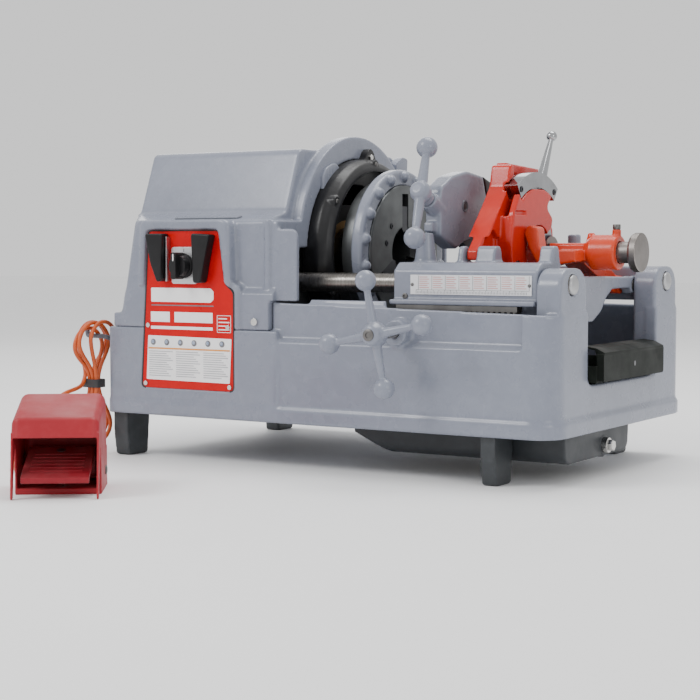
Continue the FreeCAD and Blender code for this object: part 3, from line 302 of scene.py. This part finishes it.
def crisp(node, material, width):
    """A CAD node kept as it is, with its edges broken and its own material."""
    piece = NODES[node]
    piece.data.materials.clear()
    piece.data.materials.append(material)
    for p in piece.data.polygons:
        p.material_index = 0
        p.use_smooth = True
    modifier(piece, "WELD", merge_threshold=MERGE)
    modifier(piece, "DECIMATE", decimate_type="DISSOLVE", angle_limit=math.radians(0.6))
    modifier(piece, "BEVEL", width=width * MM, segments=2, limit_method="ANGLE",
             angle_limit=math.radians(28), use_clamp_overlap=True, harden_normals=False)
    modifier(piece, "WEIGHTED_NORMAL", keep_sharp=False, weight=80)


def basis(direction):
    z = Vector(direction).normalized()
    x = z.orthogonal().normalized()
    return Matrix((x, z.cross(x), z)).transposed().to_4x4()


def lathe(name, profile, at, direction, material, body, steps=48):
    """A closed or open profile of (along, radius), in mm, turned about a direction."""
    shape = bmesh.new()
    rings = []
    for along, radius in profile:
        if radius < 1e-6:
            rings.append([shape.verts.new((0, 0, along * MM))])
            continue
        rings.append([shape.verts.new((radius * MM * math.cos(TURN * k / steps),
                                       radius * MM * math.sin(TURN * k / steps), along * MM))
                      for k in range(steps)])
    for low, high in zip(rings, rings[1:]):
        if len(low) == 1 and len(high) == 1:
            continue
        for k in range(steps):
            n = (k + 1) % steps
            if len(low) == 1:
                shape.faces.new((low[0], high[n], high[k]))
            elif len(high) == 1:
                shape.faces.new((low[k], low[n], high[0]))
            else:
                shape.faces.new((low[k], low[n], high[n], high[k]))
    bmesh.ops.recalc_face_normals(shape, faces=shape.faces)
    return placed(name, shape, Matrix.Translation(Vector(at) * MM) @ basis(direction), material, body,
                  40)


def placed(name, shape, matrix, material, body, sharp=35):
    """A bmesh as a piece in the row frame, with shading that breaks at sharp edges."""
    shape.transform(matrix)
    mesh = bpy.data.meshes.new(name)
    shape.to_mesh(mesh)
    shape.free()
    piece = link(name, mesh, material)
    for p in mesh.polygons:
        p.use_smooth = True
    mesh.set_sharp_from_angle(angle=math.radians(sharp))
    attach(piece, body)
    return piece


def plates(name, outlines, low, high, plane, material, body, round_off=0.6,
           matrix=Matrix.Identity(4)):
    """Rounded plates: outlines of (u, v) in mm in XY, XZ or YZ, between two places on the third axis."""
    shape = bmesh.new()

    def spot(u, v, w):
        return {"XY": (u, v, w), "XZ": (u, w, v), "YZ": (w, u, v)}[plane]

    for outline in outlines:
        bottom = [shape.verts.new(m(*spot(u, v, low))) for u, v in outline]
        top = [shape.verts.new(m(*spot(u, v, high))) for u, v in outline]
        shape.faces.new(bottom)
        shape.faces.new(top[::-1])
        for k in range(len(outline)):
            n = (k + 1) % len(outline)
            shape.faces.new((bottom[k], top[k], top[n], bottom[n]))
    bmesh.ops.recalc_face_normals(shape, faces=shape.faces)
    if round_off:
        edges = [e for e in shape.edges if e.calc_face_angle(0) > math.radians(28)]
        bmesh.ops.bevel(shape, geom=edges, offset=round_off * MM, segments=3, profile=0.6, affect="EDGES",
                        clamp_overlap=True)
    return placed(name, shape, matrix, material, body, 50)


def prism(name, outline, low, high, plane, material, body, round_off=0.6, matrix=Matrix.Identity(4)):
    return plates(name, [outline], low, high, plane, material, body, round_off, matrix)


def rect(x0, x1, z0, z1):
    return [(x0, z0), (x1, z0), (x1, z1), (x0, z1)]


def disc(x, z, radius, steps=20):
    return [(x + radius * math.cos(TURN * k / steps), z + radius * math.sin(TURN * k / steps))
            for k in range(steps)]


def soft(points, radius=3.0, steps=4):
    """An outline with its corners rounded."""
    out = []
    for k, here in enumerate(points):
        here = Vector(here)
        back = (Vector(points[k - 1]) - here)
        ahead = (Vector(points[(k + 1) % len(points)]) - here)
        a = here + back.normalized() * min(radius, back.length * 0.45)
        b = here + ahead.normalized() * min(radius, ahead.length * 0.45)
        for i in range(steps + 1):
            t = i / steps
            out.append(tuple(a * (1 - t) ** 2 + here * 2 * t * (1 - t) + b * t * t))
    return out


def swept(name, path, radii, material, body, steps=16):
    """A round tube through points in metres, with a radius in mm at each."""
    shape = bmesh.new()
    rings = []
    side = (path[1] - path[0]).orthogonal().normalized()
    for k, (spot, radius) in enumerate(zip(path, radii)):
        ahead = (path[min(k + 1, len(path) - 1)] - path[max(k - 1, 0)]).normalized()
        side = (side - ahead * side.dot(ahead)).normalized()
        other = ahead.cross(side)
        rings.append([shape.verts.new(spot + (side * math.cos(TURN * i / steps) +
                                              other * math.sin(TURN * i / steps)) * radius * MM)
                      for i in range(steps)])
    for low, high in zip(rings, rings[1:]):
        for i in range(steps):
            n = (i + 1) % steps
            shape.faces.new((low[i], low[n], high[n], high[i]))
    shape.faces.new(rings[0][::-1])
    shape.faces.new(rings[-1])
    bmesh.ops.recalc_face_normals(shape, faces=shape.faces)
    return placed(name, shape, Matrix.Identity(4), material, body, 40)


def rounded(x0, x1, z0, z1, radius, steps=6):
    """Outline of a rectangle with round corners."""
    points = []
    for cx, cz, start in ((x1 - radius, z1 - radius, 0), (x0 + radius, z1 - radius, 90),
                          (x0 + radius, z0 + radius, 180), (x1 - radius, z0 + radius, 270)):
        for k in range(steps + 1):
            turn = math.radians(start + 90 * k / steps)
            points.append((cx + radius * math.cos(turn), cz + radius * math.sin(turn)))
    return points


def screw_head(name, at, direction, radius, height, material, body, kind="socket"):
    """A screw head that stands on a surface: socket, hex or dome."""
    if kind == "socket":
        profile = [(0, radius), (height * 0.85, radius), (height, radius * 0.9), (height, radius * 0.52),
                   (height * 0.35, radius * 0.5), (height * 0.35, 0)]
        return lathe(name, profile, at, direction, material, body, 24)
    if kind == "hex":
        profile = [(0, radius), (height * 0.8, radius), (height, radius * 0.86), (height, 0)]
        return lathe(name, profile, at, direction, material, body, 6)
    crown = [(height * (0.35 + 0.65 * math.sin(t)), radius * math.cos(t)) for t in (0.35, 0.7, 1.05, 1.35)]
    profile = [(0, radius), (height * 0.35, radius)] + crown + [(height, 0)]
    return lathe(name, profile, at, direction, material, body, 28)


# ---- camera, light, floor ------------------------------------------------------------
def camera():
    lens = bpy.data.cameras.new("camera")
    lens.lens = 83.16
    lens.sensor_width = 36.0
    lens.clip_start, lens.clip_end = 0.05, 60.0
    eye = bpy.data.objects.new("camera", lens)
    bpy.context.scene.collection.objects.link(eye)
    right = Vector((0.84766, 0.53054, 0.0))
    up = Vector((-0.03275, 0.05232, 0.99809))
    back = Vector((0.52953, -0.84604, 0.06173))
    turn = Matrix((right, up, back)).transposed().to_4x4()
    eye.matrix_world = Matrix.Translation((1.44469, -2.38981, 0.35194)) @ turn
    bpy.context.scene.camera = eye


def area(name, at, aim, size, power):
    data = bpy.data.lights.new(name, "AREA")
    data.shape = "RECTANGLE"
    data.size, data.size_y = size
    data.energy = power
    lamp = bpy.data.objects.new(name, data)
    bpy.context.scene.collection.objects.link(lamp)
    lamp.location = at
    lamp.rotation_mode = "QUATERNION"
    lamp.rotation_quaternion = (Vector(aim) - Vector(at)).to_track_quat("-Z", "Y")


def studio():
    world = bpy.data.worlds.new("studio")
    bpy.context.scene.world = world
    world.use_nodes = True
    sky = world.node_tree.nodes["Background"]
    sky.inputs["Color"].default_value = (1.0, 1.0, 1.0, 1.0)
    sky.inputs["Strength"].default_value = 0.98
    area("key", (-1.3, -2.3, 2.3), (0, 0, 0.25), (1.3, 1.0), 46)
    area("fill", (3.0, -1.3, 1.2), (0.1, 0, 0.25), (1.0, 1.0), 12)
    area("top", (0.3, 0.5, 2.6), (0.1, 0, 0.2), (1.8, 1.2), 40)
    area("back", (-1.8, 2.4, 1.8), (0, 0, 0.25), (1.6, 1.4), 12)
    shape = bmesh.new()
    corners = [shape.verts.new(v) for v in ((-14, -14, 0), (14, -14, 0), (14, 14, 0), (-14, 14, 0))]
    shape.faces.new(corners)
    mesh = bpy.data.meshes.new("floor")
    shape.to_mesh(mesh)
    shape.free()
    link("floor", mesh, FLOOR)


camera()
studio()


# ---- castings and carried-over parts ------------------------------------------------------
CASTINGS = (  # node, material, body, slot, voxel size in mm, smoothing steps
    ("base_casting", GREY, "machine", "grey_casting", 2.6, 5),
    ("hood", GREY, "machine", "grey_casting", 2.4, 6),
    ("stand_feet", FEET, "machine", "grey_casting", 2.0, 6),
    ("chuck_shroud", BLACK, "machine", "black_paint", 2.0, 5),
    ("oil_tank", TANK, "machine", "tank_paint", 1.8, 5),
    ("foot_switch_guard", FOOT_RED, "machine", "foot_switch_red", 1.3, 3),
    ("carriage_casting", GREY, "carriage", "grey_casting", 1.9, 6),
    ("feed_handwheel", GREY, "feed_wheel", "grey_casting", 1.3, 5),
    ("cutter_frame", GREY, "cutter", "grey_casting", 1.5, 22),
    ("cutter_roller_arm", BLACK, "cutter", "black_paint", 1.5, 6),
    ("cutter_feed_screw", GREY, "feed_screw", "grey_casting", 1.3, 5),
    ("chuck_wheel", GREY, "chuck_wheel", "grey_casting", 1.6, 5),
    ("die_head_body", ORANGE, "die_head", "orange_casting", 1.4, 12),
    ("reamer_arm", REAMER, "reamer", "reamer_orange", 1.3, 5))
for row in CASTINGS:
    cast(*row)

KEPT = (  # material, width of the broken edges in mm, nodes
    (BRIGHT, 0.5, ("hood_screws",)),
    (DULL, 0.4, ("feed_rack", "pedal_pin")),
    (IRON, 1.0, ("headstock_frame", "oil_pump", "rear_wheel")),
    (BRONZE, 0.4, ("spindle_bearings",)),
    (RAIL, 0.8, ("carriage_rails",)),
    (BLACK, 1.0, ("drive_motor",)),
    (RED, 0.4, ("control_plate",)),
    (BRIGHT, 0.5, ("drain_plug", "cutter_roller_1", "cutter_roller_2", "cutter_wheel")),
    (OILY, 0.6, ("spindle_tube", "cutter_slide")),
    (CHUCK, 0.7, ("chuck_body", "rear_chuck_body")),
    (TURNED, 0.3, ("spindle_gear", "idler_gear", "pump_gear", "motor_rotor", "feed_pinion",
                   "tool_pivot_rod")),
    (OILY, 0.4, tuple("%s_jaw_%d" % (end, k) for end in ("front", "rear") for k in (1, 2, 3))),
    (BRIGHT, 0.3, tuple("thread_die_%d" % k for k in (1, 2, 3, 4))),
    (CHROME, 0.8, ("throwout_lever",)),
    (KNOB, 0.7, ("reamer_bar",)),
    (PLASTIC, 1.0, ("selector_knob",)),
    (TRAY, 0.6, ("chip_tray",)),
    (PEDAL_RED, 1.2, ("foot_pedal",)),
    (SCALE, 0.15, ("scale_plate",)))
for material, width, nodes in KEPT:
    for node in nodes:
        crisp(node, material, width)


# ---- control panel -------------------------------------------------------------------------
FACE = -264.5                      # front of the control plate
THIN = 0.45                        # thickness of a label


def panel_print():
    """Plain marks on the control plate: bars, discs and lines, no lettering."""
    def label(name, outlines, material, layer=1):
        plates(name, outlines, FACE - THIN * layer, FACE - THIN * (layer - 1) + 0.05, "XZ", material,
               "machine", 0)

    label("info_label", [soft([(-290, 135), (-117, 134), (-113, 207), (-286, 209)], 2)], WHITE)
    label("info_rule", [rect(-285.5, -116, 186.5, 189)], DOTTED, 2)
    label("info_discs", [disc(-275 + 28.6 * k, 198, 5.2) for k in range(6)], INK, 2)
    label("info_disc_middles", [disc(-275.8 + 28.6 * k, 198.8, 3.1) for k in range(6)], PRINT_BLUE, 3)
    lines = []
    for column in range(3):
        for row in range(12):
            start = -284 + 57 * column
            length = 50 - 13 * ((row * 7 + column * 5) % 4) / 3
            lines.append(rect(start, start + length, 182 - 3.7 * row, 183.1 - 3.7 * row))
    label("info_lines", lines, PRINT_GREY, 2)
    band = [(-279, 265.5), (-155, 265.5), (-149, 271), (-149, 284), (-155, 289), (-279, 289)]
    label("name_band", [soft(band, 2)], WHITE)
    label("name_underline", [rect(-279, -149, 259, 261)], INK)
    label("series_bars", [rect(-280, -240, 232, 249), rect(-230, -151, 232, 249),
                          rect(-280, -151, 220, 225)], WHITE)
    frame_lines = [rect(-142, -114, 244.5, 245.3), rect(-142, -114, 217, 217.8),
                   rect(-142, -141.2, 217, 245), rect(-114.8, -114, 217, 245)]
    note_lines = [rect(-139, -117 - 5 * (k % 2), 221 + 6 * k, 222.8 + 6 * k) for k in range(4)]
    # Painted shade: a thin dark rubber line round the control plate stands in for the shadow in the plate's
    # recess.
    edge = [(-205, 120.5), (-300.5, 120.5), (-289.4, 300), (-284.4, 384.5), (-137.6, 384.5),
            (-125.6, 296.4), (-108.5, 284.4), (-108.5, 120.5), (-204, 120.5)]
    shade_line = [m(x, FACE + 0.6, z) for x, z in soft(edge, 8)[5:-5]]
    swept("panel_recess_shade", shade_line, [1.7] * len(shade_line), RUBBER, "machine", 8)
    label("side_note", frame_lines + note_lines, WHITE)


def switch():
    def black(name, points):
        piece = prism(name, soft(points, 5, 5), FACE - 20, FACE + 0.2, "XZ", PLASTIC, "machine",
                      3.2)
        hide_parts("switch_bezel")

    plate = prism("switch_face", rounded(-232, -180, 296, 357, 5), FACE - 5, FACE + 0.2, "XZ", SILVER,
                  "machine", 0.8)
    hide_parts("switch_bezel")
    black("switch_guard_left", [(-277, 379), (-241, 379), (-243, 303), (-252, 298), (-266, 330)])
    black("switch_guard_right", [(-181, 379), (-144, 377), (-153, 340), (-162, 298), (-177, 298)])
    for name, x0, x1 in (("left", -240.2, -237.6), ("right", -184.4, -181.8)):
        prism("switch_trim_" + name, rounded(x0, x1, 300, 374, 1), FACE - 11, FACE + 0.2, "XZ", SILVER,
              "machine", 0.5)
    middle = Vector((SWITCH_X, SWITCH_Z))
    ticks = []
    for turn in (-45, 0, 45):
        a = math.radians(90 + turn)
        u, v = Vector((math.cos(a), math.sin(a))), Vector((-math.sin(a), math.cos(a))) * 0.8
        start, end = middle + u * 23, middle + u * 28
        ticks.append([tuple(start - v), tuple(end - v), tuple(end + v), tuple(start + v)])
    plates("switch_ticks", ticks, FACE - 5.3, FACE - 4.9, "XZ", INK, "machine", 0)
    lathe("selector_collar", [(0, 20.5), (2.5, 21), (5, 20), (6, 18.5), (6, 0)],
          (SWITCH_X, FACE - 5.3, SWITCH_Z), (0, -1, 0), PLASTIC, "selector", 56)
    prism("selector_pointer", rounded(-207, -205, 334, 345.5, 0.9), FACE - 34.5, FACE - 33.6, "XZ", WHITE,
          "selector", 0.2)


# ---- fittings --------------------------------------------------------------------------------
def polar(radius, angle):
    """Y and Z of a point about the spindle's axis."""
    turn = math.radians(angle)
    return radius * math.cos(turn), AXIS_Z + radius * math.sin(turn)


def hood_details():
    prism("collar_pad", soft([(-110, 489), (-84, 499), (-67, 491), (-66, 474), (-86, 464), (-100, 449),
                              (-119, 447), (-121, 474)], 7), -36, -28, "YZ", GREY, "machine",
          2.5)
    prism("collar_ear", soft([(140, 488), (176, 492), (178, 517), (160, 520), (136, 508)], 5), -54, -38,
          "YZ", GREY, "machine", 2)
    prism("shroud_ear", soft([(-20, 496), (0, 507), (8, 521), (18, 528), (28, 522), (35, 508), (54, 498),
                              (48, 488), (0, 486)], 6), -34, -20, "YZ", BLACK, "machine", 2)
    screw_head("shroud_screw", (-20.4, 18, 512), (1, 0, 0), 5.5, 3.4, BRIGHT, "machine",
               "hex")
    for k, angle in enumerate((34, 90, 146, 206, -26)):
        y, z = polar(150, angle)
        screw_head("shroud_edge_screw_%d" % (k + 1), (1.4, y, z), (1, 0, 0), 4.6, 2.6, DULL, "machine",
                   "dome")
    slope = math.atan2(415 - 400, 250 - 192)
    lie = Matrix.Translation(m(0, -250, 400)) @ Matrix.Rotation(slope, 4, "X")
    plates("hood_nameplate", [rounded(-250, -118, 12, 27, 4)], -1, 1.6, "XY", GREY_DARK, "machine",
           0.5, lie)
    plates("hood_nameplate_face", [rounded(-247, -121, 15, 24, 2.5)], 0, 2.1, "XY", GREY, "machine",
           0.5, lie)


def rail_caps():
    dome = [(0, 15), (1.6, 15), (3.4, 13.6), (5.0, 10.5), (6.0, 6), (6.3, 0)]
    for name, side in (("front", -1), ("rear", 1)):
        lathe("rail_cap_" + name, dome, (RAIL_CAP_X, side * RAIL_Y, RAIL_Z), (1, 0, 0), CAP, "machine",
              48)


def chuck_details():
    for k, angle in enumerate((136, 166, 256, 286, 16, 46)):
        y, z = polar(63, angle)
        screw_head("chuck_screw_%d" % (k + 1), (59.6, y, z), (1, 0, 0), 5, 1.6, OILY, "spindle")


def carriage_details():
    for k, (x, z) in enumerate(((190, 281), (203.5, 299), (402.5, 299))):
        radius, y = ((4.6, -224.2), (2.6, -225.6), (2.6, -225.6))[k]
        screw_head("carriage_screw_%d" % (k + 1), (x, y, z), (0, -1, 0), radius, 2.0, DULL, "carriage",
                   "dome" if k else "socket")
    fine = [rect(210 + 2.5 * k, 210.5 + 2.5 * k, 285.5, 289 + (2.2 if k % 4 == 0 else 0))
            for k in range(76)]
    plates("scale_ticks", fine, SCALE_FACE_Y, SCALE_FACE_Y + 0.35, "XZ", INK, "carriage", 0)
    groups = [rect(214 + 23.5 * k, 214.5 + 23.5 * k, 291, 313) for k in range(9)]
    bars = [rect(216 + 23.5 * k, 233 + 23.5 * k - 3 * (r % 2), 294 + 3.2 * r, 295.1 + 3.2 * r)
            for k in range(8) for r in range(6)]
    plates("scale_columns", groups + [rect(210, 402, 290.8, 291.3)], SCALE_FACE_Y, SCALE_FACE_Y + 0.35,
           "XZ", INK, "carriage", 0)
    plates("scale_bars", bars, SCALE_FACE_Y, SCALE_FACE_Y + 0.35, "XZ", PRINT_RED, "carriage",
           0)
    lathe("feed_wheel_cap", [(0, 9), (1.6, 9), (2.6, 7.6), (2.6, 4.4), (1.2, 4.2), (1.2, 0)],
          (FEED_X, -347.9, FEED_Z), (0, -1, 0), DULL, "feed_wheel", 32)


def cutter_details():
    y, z = -62.8, 423
    lathe("cutter_oil_cup", [(0, 10), (1.4, 9.4), (1.4, 7.4), (0.3, 6.8), (0.3, 0)], (207.9, y, z),
          (1, 0, 0), GREY_DARK, "cutter", 36)
    lathe("cutter_oil_cup_plug", [(0, 6), (0.9, 5.4), (1.1, 0)], (208.1, y, z), (1, 0, 0), OILY, "cutter",
          28)
    for k, angle in enumerate((12, -38)):
        y, z = polar(42.5, angle)
        for side, x in (("left", 180), ("right", 208)):
            screw_head("cutter_pin_%d_%s" % (k + 1, side), (x, y, z), (1 if x > 190 else -1, 0, 0), 6, 2.4,
                       BRIGHT, "cutter", "dome")


def die_head_details():
    for k, angle in enumerate((58, 121)):
        y, z = polar(117, angle)
        screw_head("saddle_screw_%d" % (k + 1), (SADDLE_FACE_X, y, z), (1, 0, 0), 5, 1.5, OILY, "lever")
    for k, (y, z) in enumerate(((-80, 330), (-50, 313))):
        screw_head("die_head_screw_%d" % (k + 1), (COVER_FACE_X, y, z), (1, 0, 0), 5.5, 3, OILY, "die_head")


def reamer_details():
    knurl = [(0, 5.6), (1, 6.2), (7.5, 6.2), (8.5, 5.6), (8.5, 2.2), (7, 2), (7, 0)]
    lathe("reamer_set_screw", knurl, (445, 0, 383.8), (0, 0, 1), DULL, "reamer", 18)


def tank_details():
    screw_head("drain_plug_hex", (452.8, DRAIN_Y, DRAIN_Z), (1, 0, 0), 9.2, 8, BRIGHT, "machine",
               "hex")
    lathe("tank_plug_boss", [(-6, 20), (4, 19), (6.5, 16), (6.5, 12.4), (0, 12.2)], (438, DRAIN_Y, DRAIN_Z),
          (1, 0, 0), TANK, "machine", 48)
    prism("tray_slot", rounded(2, 8, 170, 178, 2.9), 475.7, 476.2, "YZ", INK, "tray", 0)
    lip = [(463, 191), (476, 191), (476.3, 196.3), (462, 203), (440, 206), (440, 204), (460, 200)]
    prism("tray_fold", soft(lip, 1.2), -116, 126, "XZ", TRAY, "tray", 0.3)


FOOT_TURN = 36.0
PIN_X, PIN_Y, PIN_Z = 62, 126, 26      # ends of the pedal's pin, in the foot switch's own frame
SPRING_Y = 80
COIL_TURNS, COIL_STEPS = 6, 16
FOOT = Matrix.Translation(m(-107, -696, 0)) @ Matrix.Rotation(math.radians(FOOT_TURN), 4, "Z")


def foot_details():
    lie = Matrix.Translation(m(0, 20, 35)) @ Matrix.Rotation(math.atan2(27, 92), 4, "X")
    plates("pedal_ribs", [rounded(-38, 38, 8 + 12 * k, 11 + 12 * k, 1.4) for k in range(6)], -1.5, 1.1,
           "XY", PEDAL_RED, "pedal", 0.6, FOOT @ lie)
    spot = tuple((FOOT @ lie @ m(0, 84, 0)) / MM)
    face = tuple((FOOT @ lie).to_3x3() @ Vector((0, 0, 1)))
    lathe("pedal_badge", [(-1, 6.5), (0.8, 6.5), (1.3, 5.6), (1.3, 0)], spot, face, DULL, "pedal",
          28)
    for side in (-1, 1):
        at = FOOT @ m(side * PIN_X, PIN_Y, PIN_Z)
        turn = FOOT.to_3x3() @ Vector((side, 0, 0))
        end = "left" if side < 0 else "right"
        screw_head("foot_pin_head_" + end, tuple(at / MM), tuple(turn), 7, 3, DULL, "machine",
                   "dome")
    coil = []
    last = COIL_TURNS * COIL_STEPS
    for k in range(last + 1):
        a = TURN * k / COIL_STEPS
        coil.append(FOOT @ m(5 * math.cos(a), SPRING_Y + 5 * math.sin(a), 10.2 + 35.4 * k / last))
    spring = swept("pedal_spring_coil", coil, [1.0] * len(coil), BRIGHT, "machine", 8)
    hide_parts("pedal_spring")
    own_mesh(spring)


panel_print()
switch()
hood_details()
rail_caps()
chuck_details()
carriage_details()
cutter_details()
die_head_details()
reamer_details()
tank_details()
foot_details()


# ---- foot switch cord ------------------------------------------------------------------
JACKET_RADIUS = 3.5
RELIEF_END = 3.9                            # radius of a strain relief at its thin end
RIB_DEPTH = 0.9
HOOK_LINE = (-265.5, 204.5)                 # Y and Z of the hook under the hank's top
EXIT = (-377, -105, 196)
LEAD = [EXIT, (-401, -106, 195.5), (-422, -120, 193), (-432, -143, 189), (-430, -168, 185.5),
        (-421, -190, 183.5), (-410, -209, 184.5)]
RUN = [(-401, -352, 111), (-402, -386, 90), (-402, -418, 62), (-399, -446, 35),
       (-391, -474, 15), (-374, -500, 5.5), (-346, -515, 3.8), (-314, -514, 3.8), (-284, -501, 3.8),
       (-256, -503, 6), (-234, -522, 12), (-220, -540.5, 18), (-208.1, -556.8, 20)]
TIE_Y, TIE_Z = -275.0, 124.0
# Each turn: place along X, then centre, height of middle and radius of its top and of its bottom fold
TURNS = [(-386.8, (-262, 196, 33), (-268, 56, 30)), (-394.2, (-278, 190, 38), (-271, 64, 33)),
         (-401.6, (-284, 184, 35), (-266, 70, 31)), (-409.0, (-266, 192, 36), (-273, 54, 30))]


def fold(centre, z, radius, x, start):
    """Control points round a half circle of the hank, from one angle on."""
    reach = radius / math.cos(math.radians(22.5))
    return [(x, centre + reach * math.cos(math.radians(start + a)),
             z + reach * math.sin(math.radians(start + a)))
            for a in (22.5, 67.5, 112.5, 157.5)]


def cord_points():
    points = LEAD + [(-397, -222, 190)]
    for k, (x, top, bottom) in enumerate(TURNS):
        after = TURNS[k + 1][0] if k + 1 < len(TURNS) else x
        if k:
            points.append((x, top[0] + top[2], top[1] - 6))
        points += fold(top[0], top[1], top[2], x, 0)
        points.append((x, top[0] - top[2], top[1] - 8))
        points.append((x, TIE_Y - 7, TIE_Z + 22))
        if k + 1 == len(TURNS):
            break
        points.append((x, TIE_Y - 6, TIE_Z - 16))
        points.append((x, bottom[0] - bottom[2], bottom[1] + 8))
        under = fold(bottom[0], bottom[1], bottom[2], x, 180)
        for i, (px, py, pz) in enumerate(under):
            points.append((px + (after - x) * (i + 0.5) / 4, py, pz))
        points.append((after, bottom[0] + bottom[2], bottom[1] + 8))
        points.append((after, TIE_Y + 6, TIE_Z - 16))
        points.append((after, TIE_Y + 7, TIE_Z + 22))
    points.append((x + 2, TIE_Y - 16, TIE_Z + 2))
    points.append((x + 6, TIE_Y - 30, TIE_Z - 6))
    return points + RUN


def nurbs(name, points, thickness):
    data = bpy.data.curves.new(name, "CURVE")
    data.dimensions = "3D"
    data.bevel_depth = thickness * MM
    data.bevel_resolution = 5
    data.resolution_u = 10
    data.use_fill_caps = bool(thickness)
    spline = data.splines.new("NURBS")
    spline.points.add(len(points) - 1)
    for spot, place in zip(spline.points, points):
        spot.co = (*(Vector(place) * MM), 1.0)
    spline.order_u = 3
    spline.use_endpoint_u = True
    piece = bpy.data.objects.new(name, data)
    bpy.context.scene.collection.objects.link(piece)
    return piece


def foot_cord():
    piece = nurbs("foot_cord", cord_points(), JACKET_RADIUS)
    piece.data.materials.append(JACKET)
    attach(piece, "machine")
    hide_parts("foot_cord_hank", "foot_cord_lead", "foot_cord_run")
    return piece


def centre_line():
    """Points along the cord's own spline, in metres."""
    guide = nurbs("guide", cord_points(), 0)
    bpy.context.view_layer.update()
    mesh = bpy.data.meshes.new_from_object(guide.evaluated_get(bpy.context.evaluated_depsgraph_get()))
    spots = [v.co.copy() for v in mesh.vertices]
    bpy.data.objects.remove(guide)
    bpy.data.meshes.remove(mesh)
    return spots


def relief(name, spots, length, thick):
    """A ribbed strain relief that tapers along the first part of a line."""
    path, along = [spots[0]], 0.0
    step = 1.0 * MM
    for a, b in zip(spots, spots[1:]):
        pieces = max(1, round((b - a).length / step))
        for i in range(pieces):
            path.append(a.lerp(b, (i + 1) / pieces))
        along += (b - a).length
        if along > length * MM:
            break
    path = path[:int(length) + 1]
    radii = []
    for k in range(len(path)):
        taper = thick + (RELIEF_END - thick) * k / (len(path) - 1)
        radii.append(taper - (RIB_DEPTH if k % 4 == 3 and k > 3 else 0.0))
    return swept(name, path, radii, RUBBER, "machine", 20)


def cord_pieces():
    line = centre_line()
    gland = lathe("cord_gland", [(-2, 7), (0, 7), (0, 11), (3.2, 11), (4.6, 10.4), (4.6, 8.4), (9.5, 8),
                                 (10.5, 7), (10.5, 3.6)],
                  GLAND, (-1, 0, 0), PLASTIC, "machine", 32)
    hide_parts("cord_fittings")
    near = relief("cord_relief", [m(*GLAND)] + line, 36, 6.6)
    far = relief("foot_relief", [m(*GRIP)] + line[::-1], 34, 6.2)
    y, z = HOOK_LINE
    hook = nurbs("cord_hook", [(-370, -250, 199), (-378, -250, 199), (-384, y + 1.5, z), (-400, y, z),
                               (-415, y, z), (-420, y, z + 1), (-420, y, z + 13.5)], 4)
    hook.data.materials.append(GREY_DARK)
    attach(hook, "machine")
    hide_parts("cord_fittings")
    return [gland, near, far], tie_band()


def tie_band():
    shape = bmesh.new()
    loops = []
    for grow, z in ((0, 117), (1.8, 117), (1.8, 131), (0, 131)):
        corners = rounded(-413.4 - grow, -382.4 + grow, -286.6 - grow, -263.4 + grow, 5 + grow)
        loops.append([shape.verts.new(m(x, y, z)) for x, y in corners])
    for low, high in zip(loops, loops[1:] + loops[:1]):
        for k in range(len(low)):
            n = (k + 1) % len(low)
            shape.faces.new((low[k], low[n], high[n], high[k]))
    bmesh.ops.recalc_face_normals(shape, faces=shape.faces)
    edges = [e for e in shape.edges if e.calc_face_angle(0) > math.radians(40)]
    bmesh.ops.bevel(shape, geom=edges, offset=0.5 * MM, segments=2, affect="EDGES", clamp_overlap=True)
    return placed("cord_tie", shape, Matrix.Identity(4), TIE, "machine", 50)


CORD = foot_cord()
FITTED, BAND = cord_pieces()
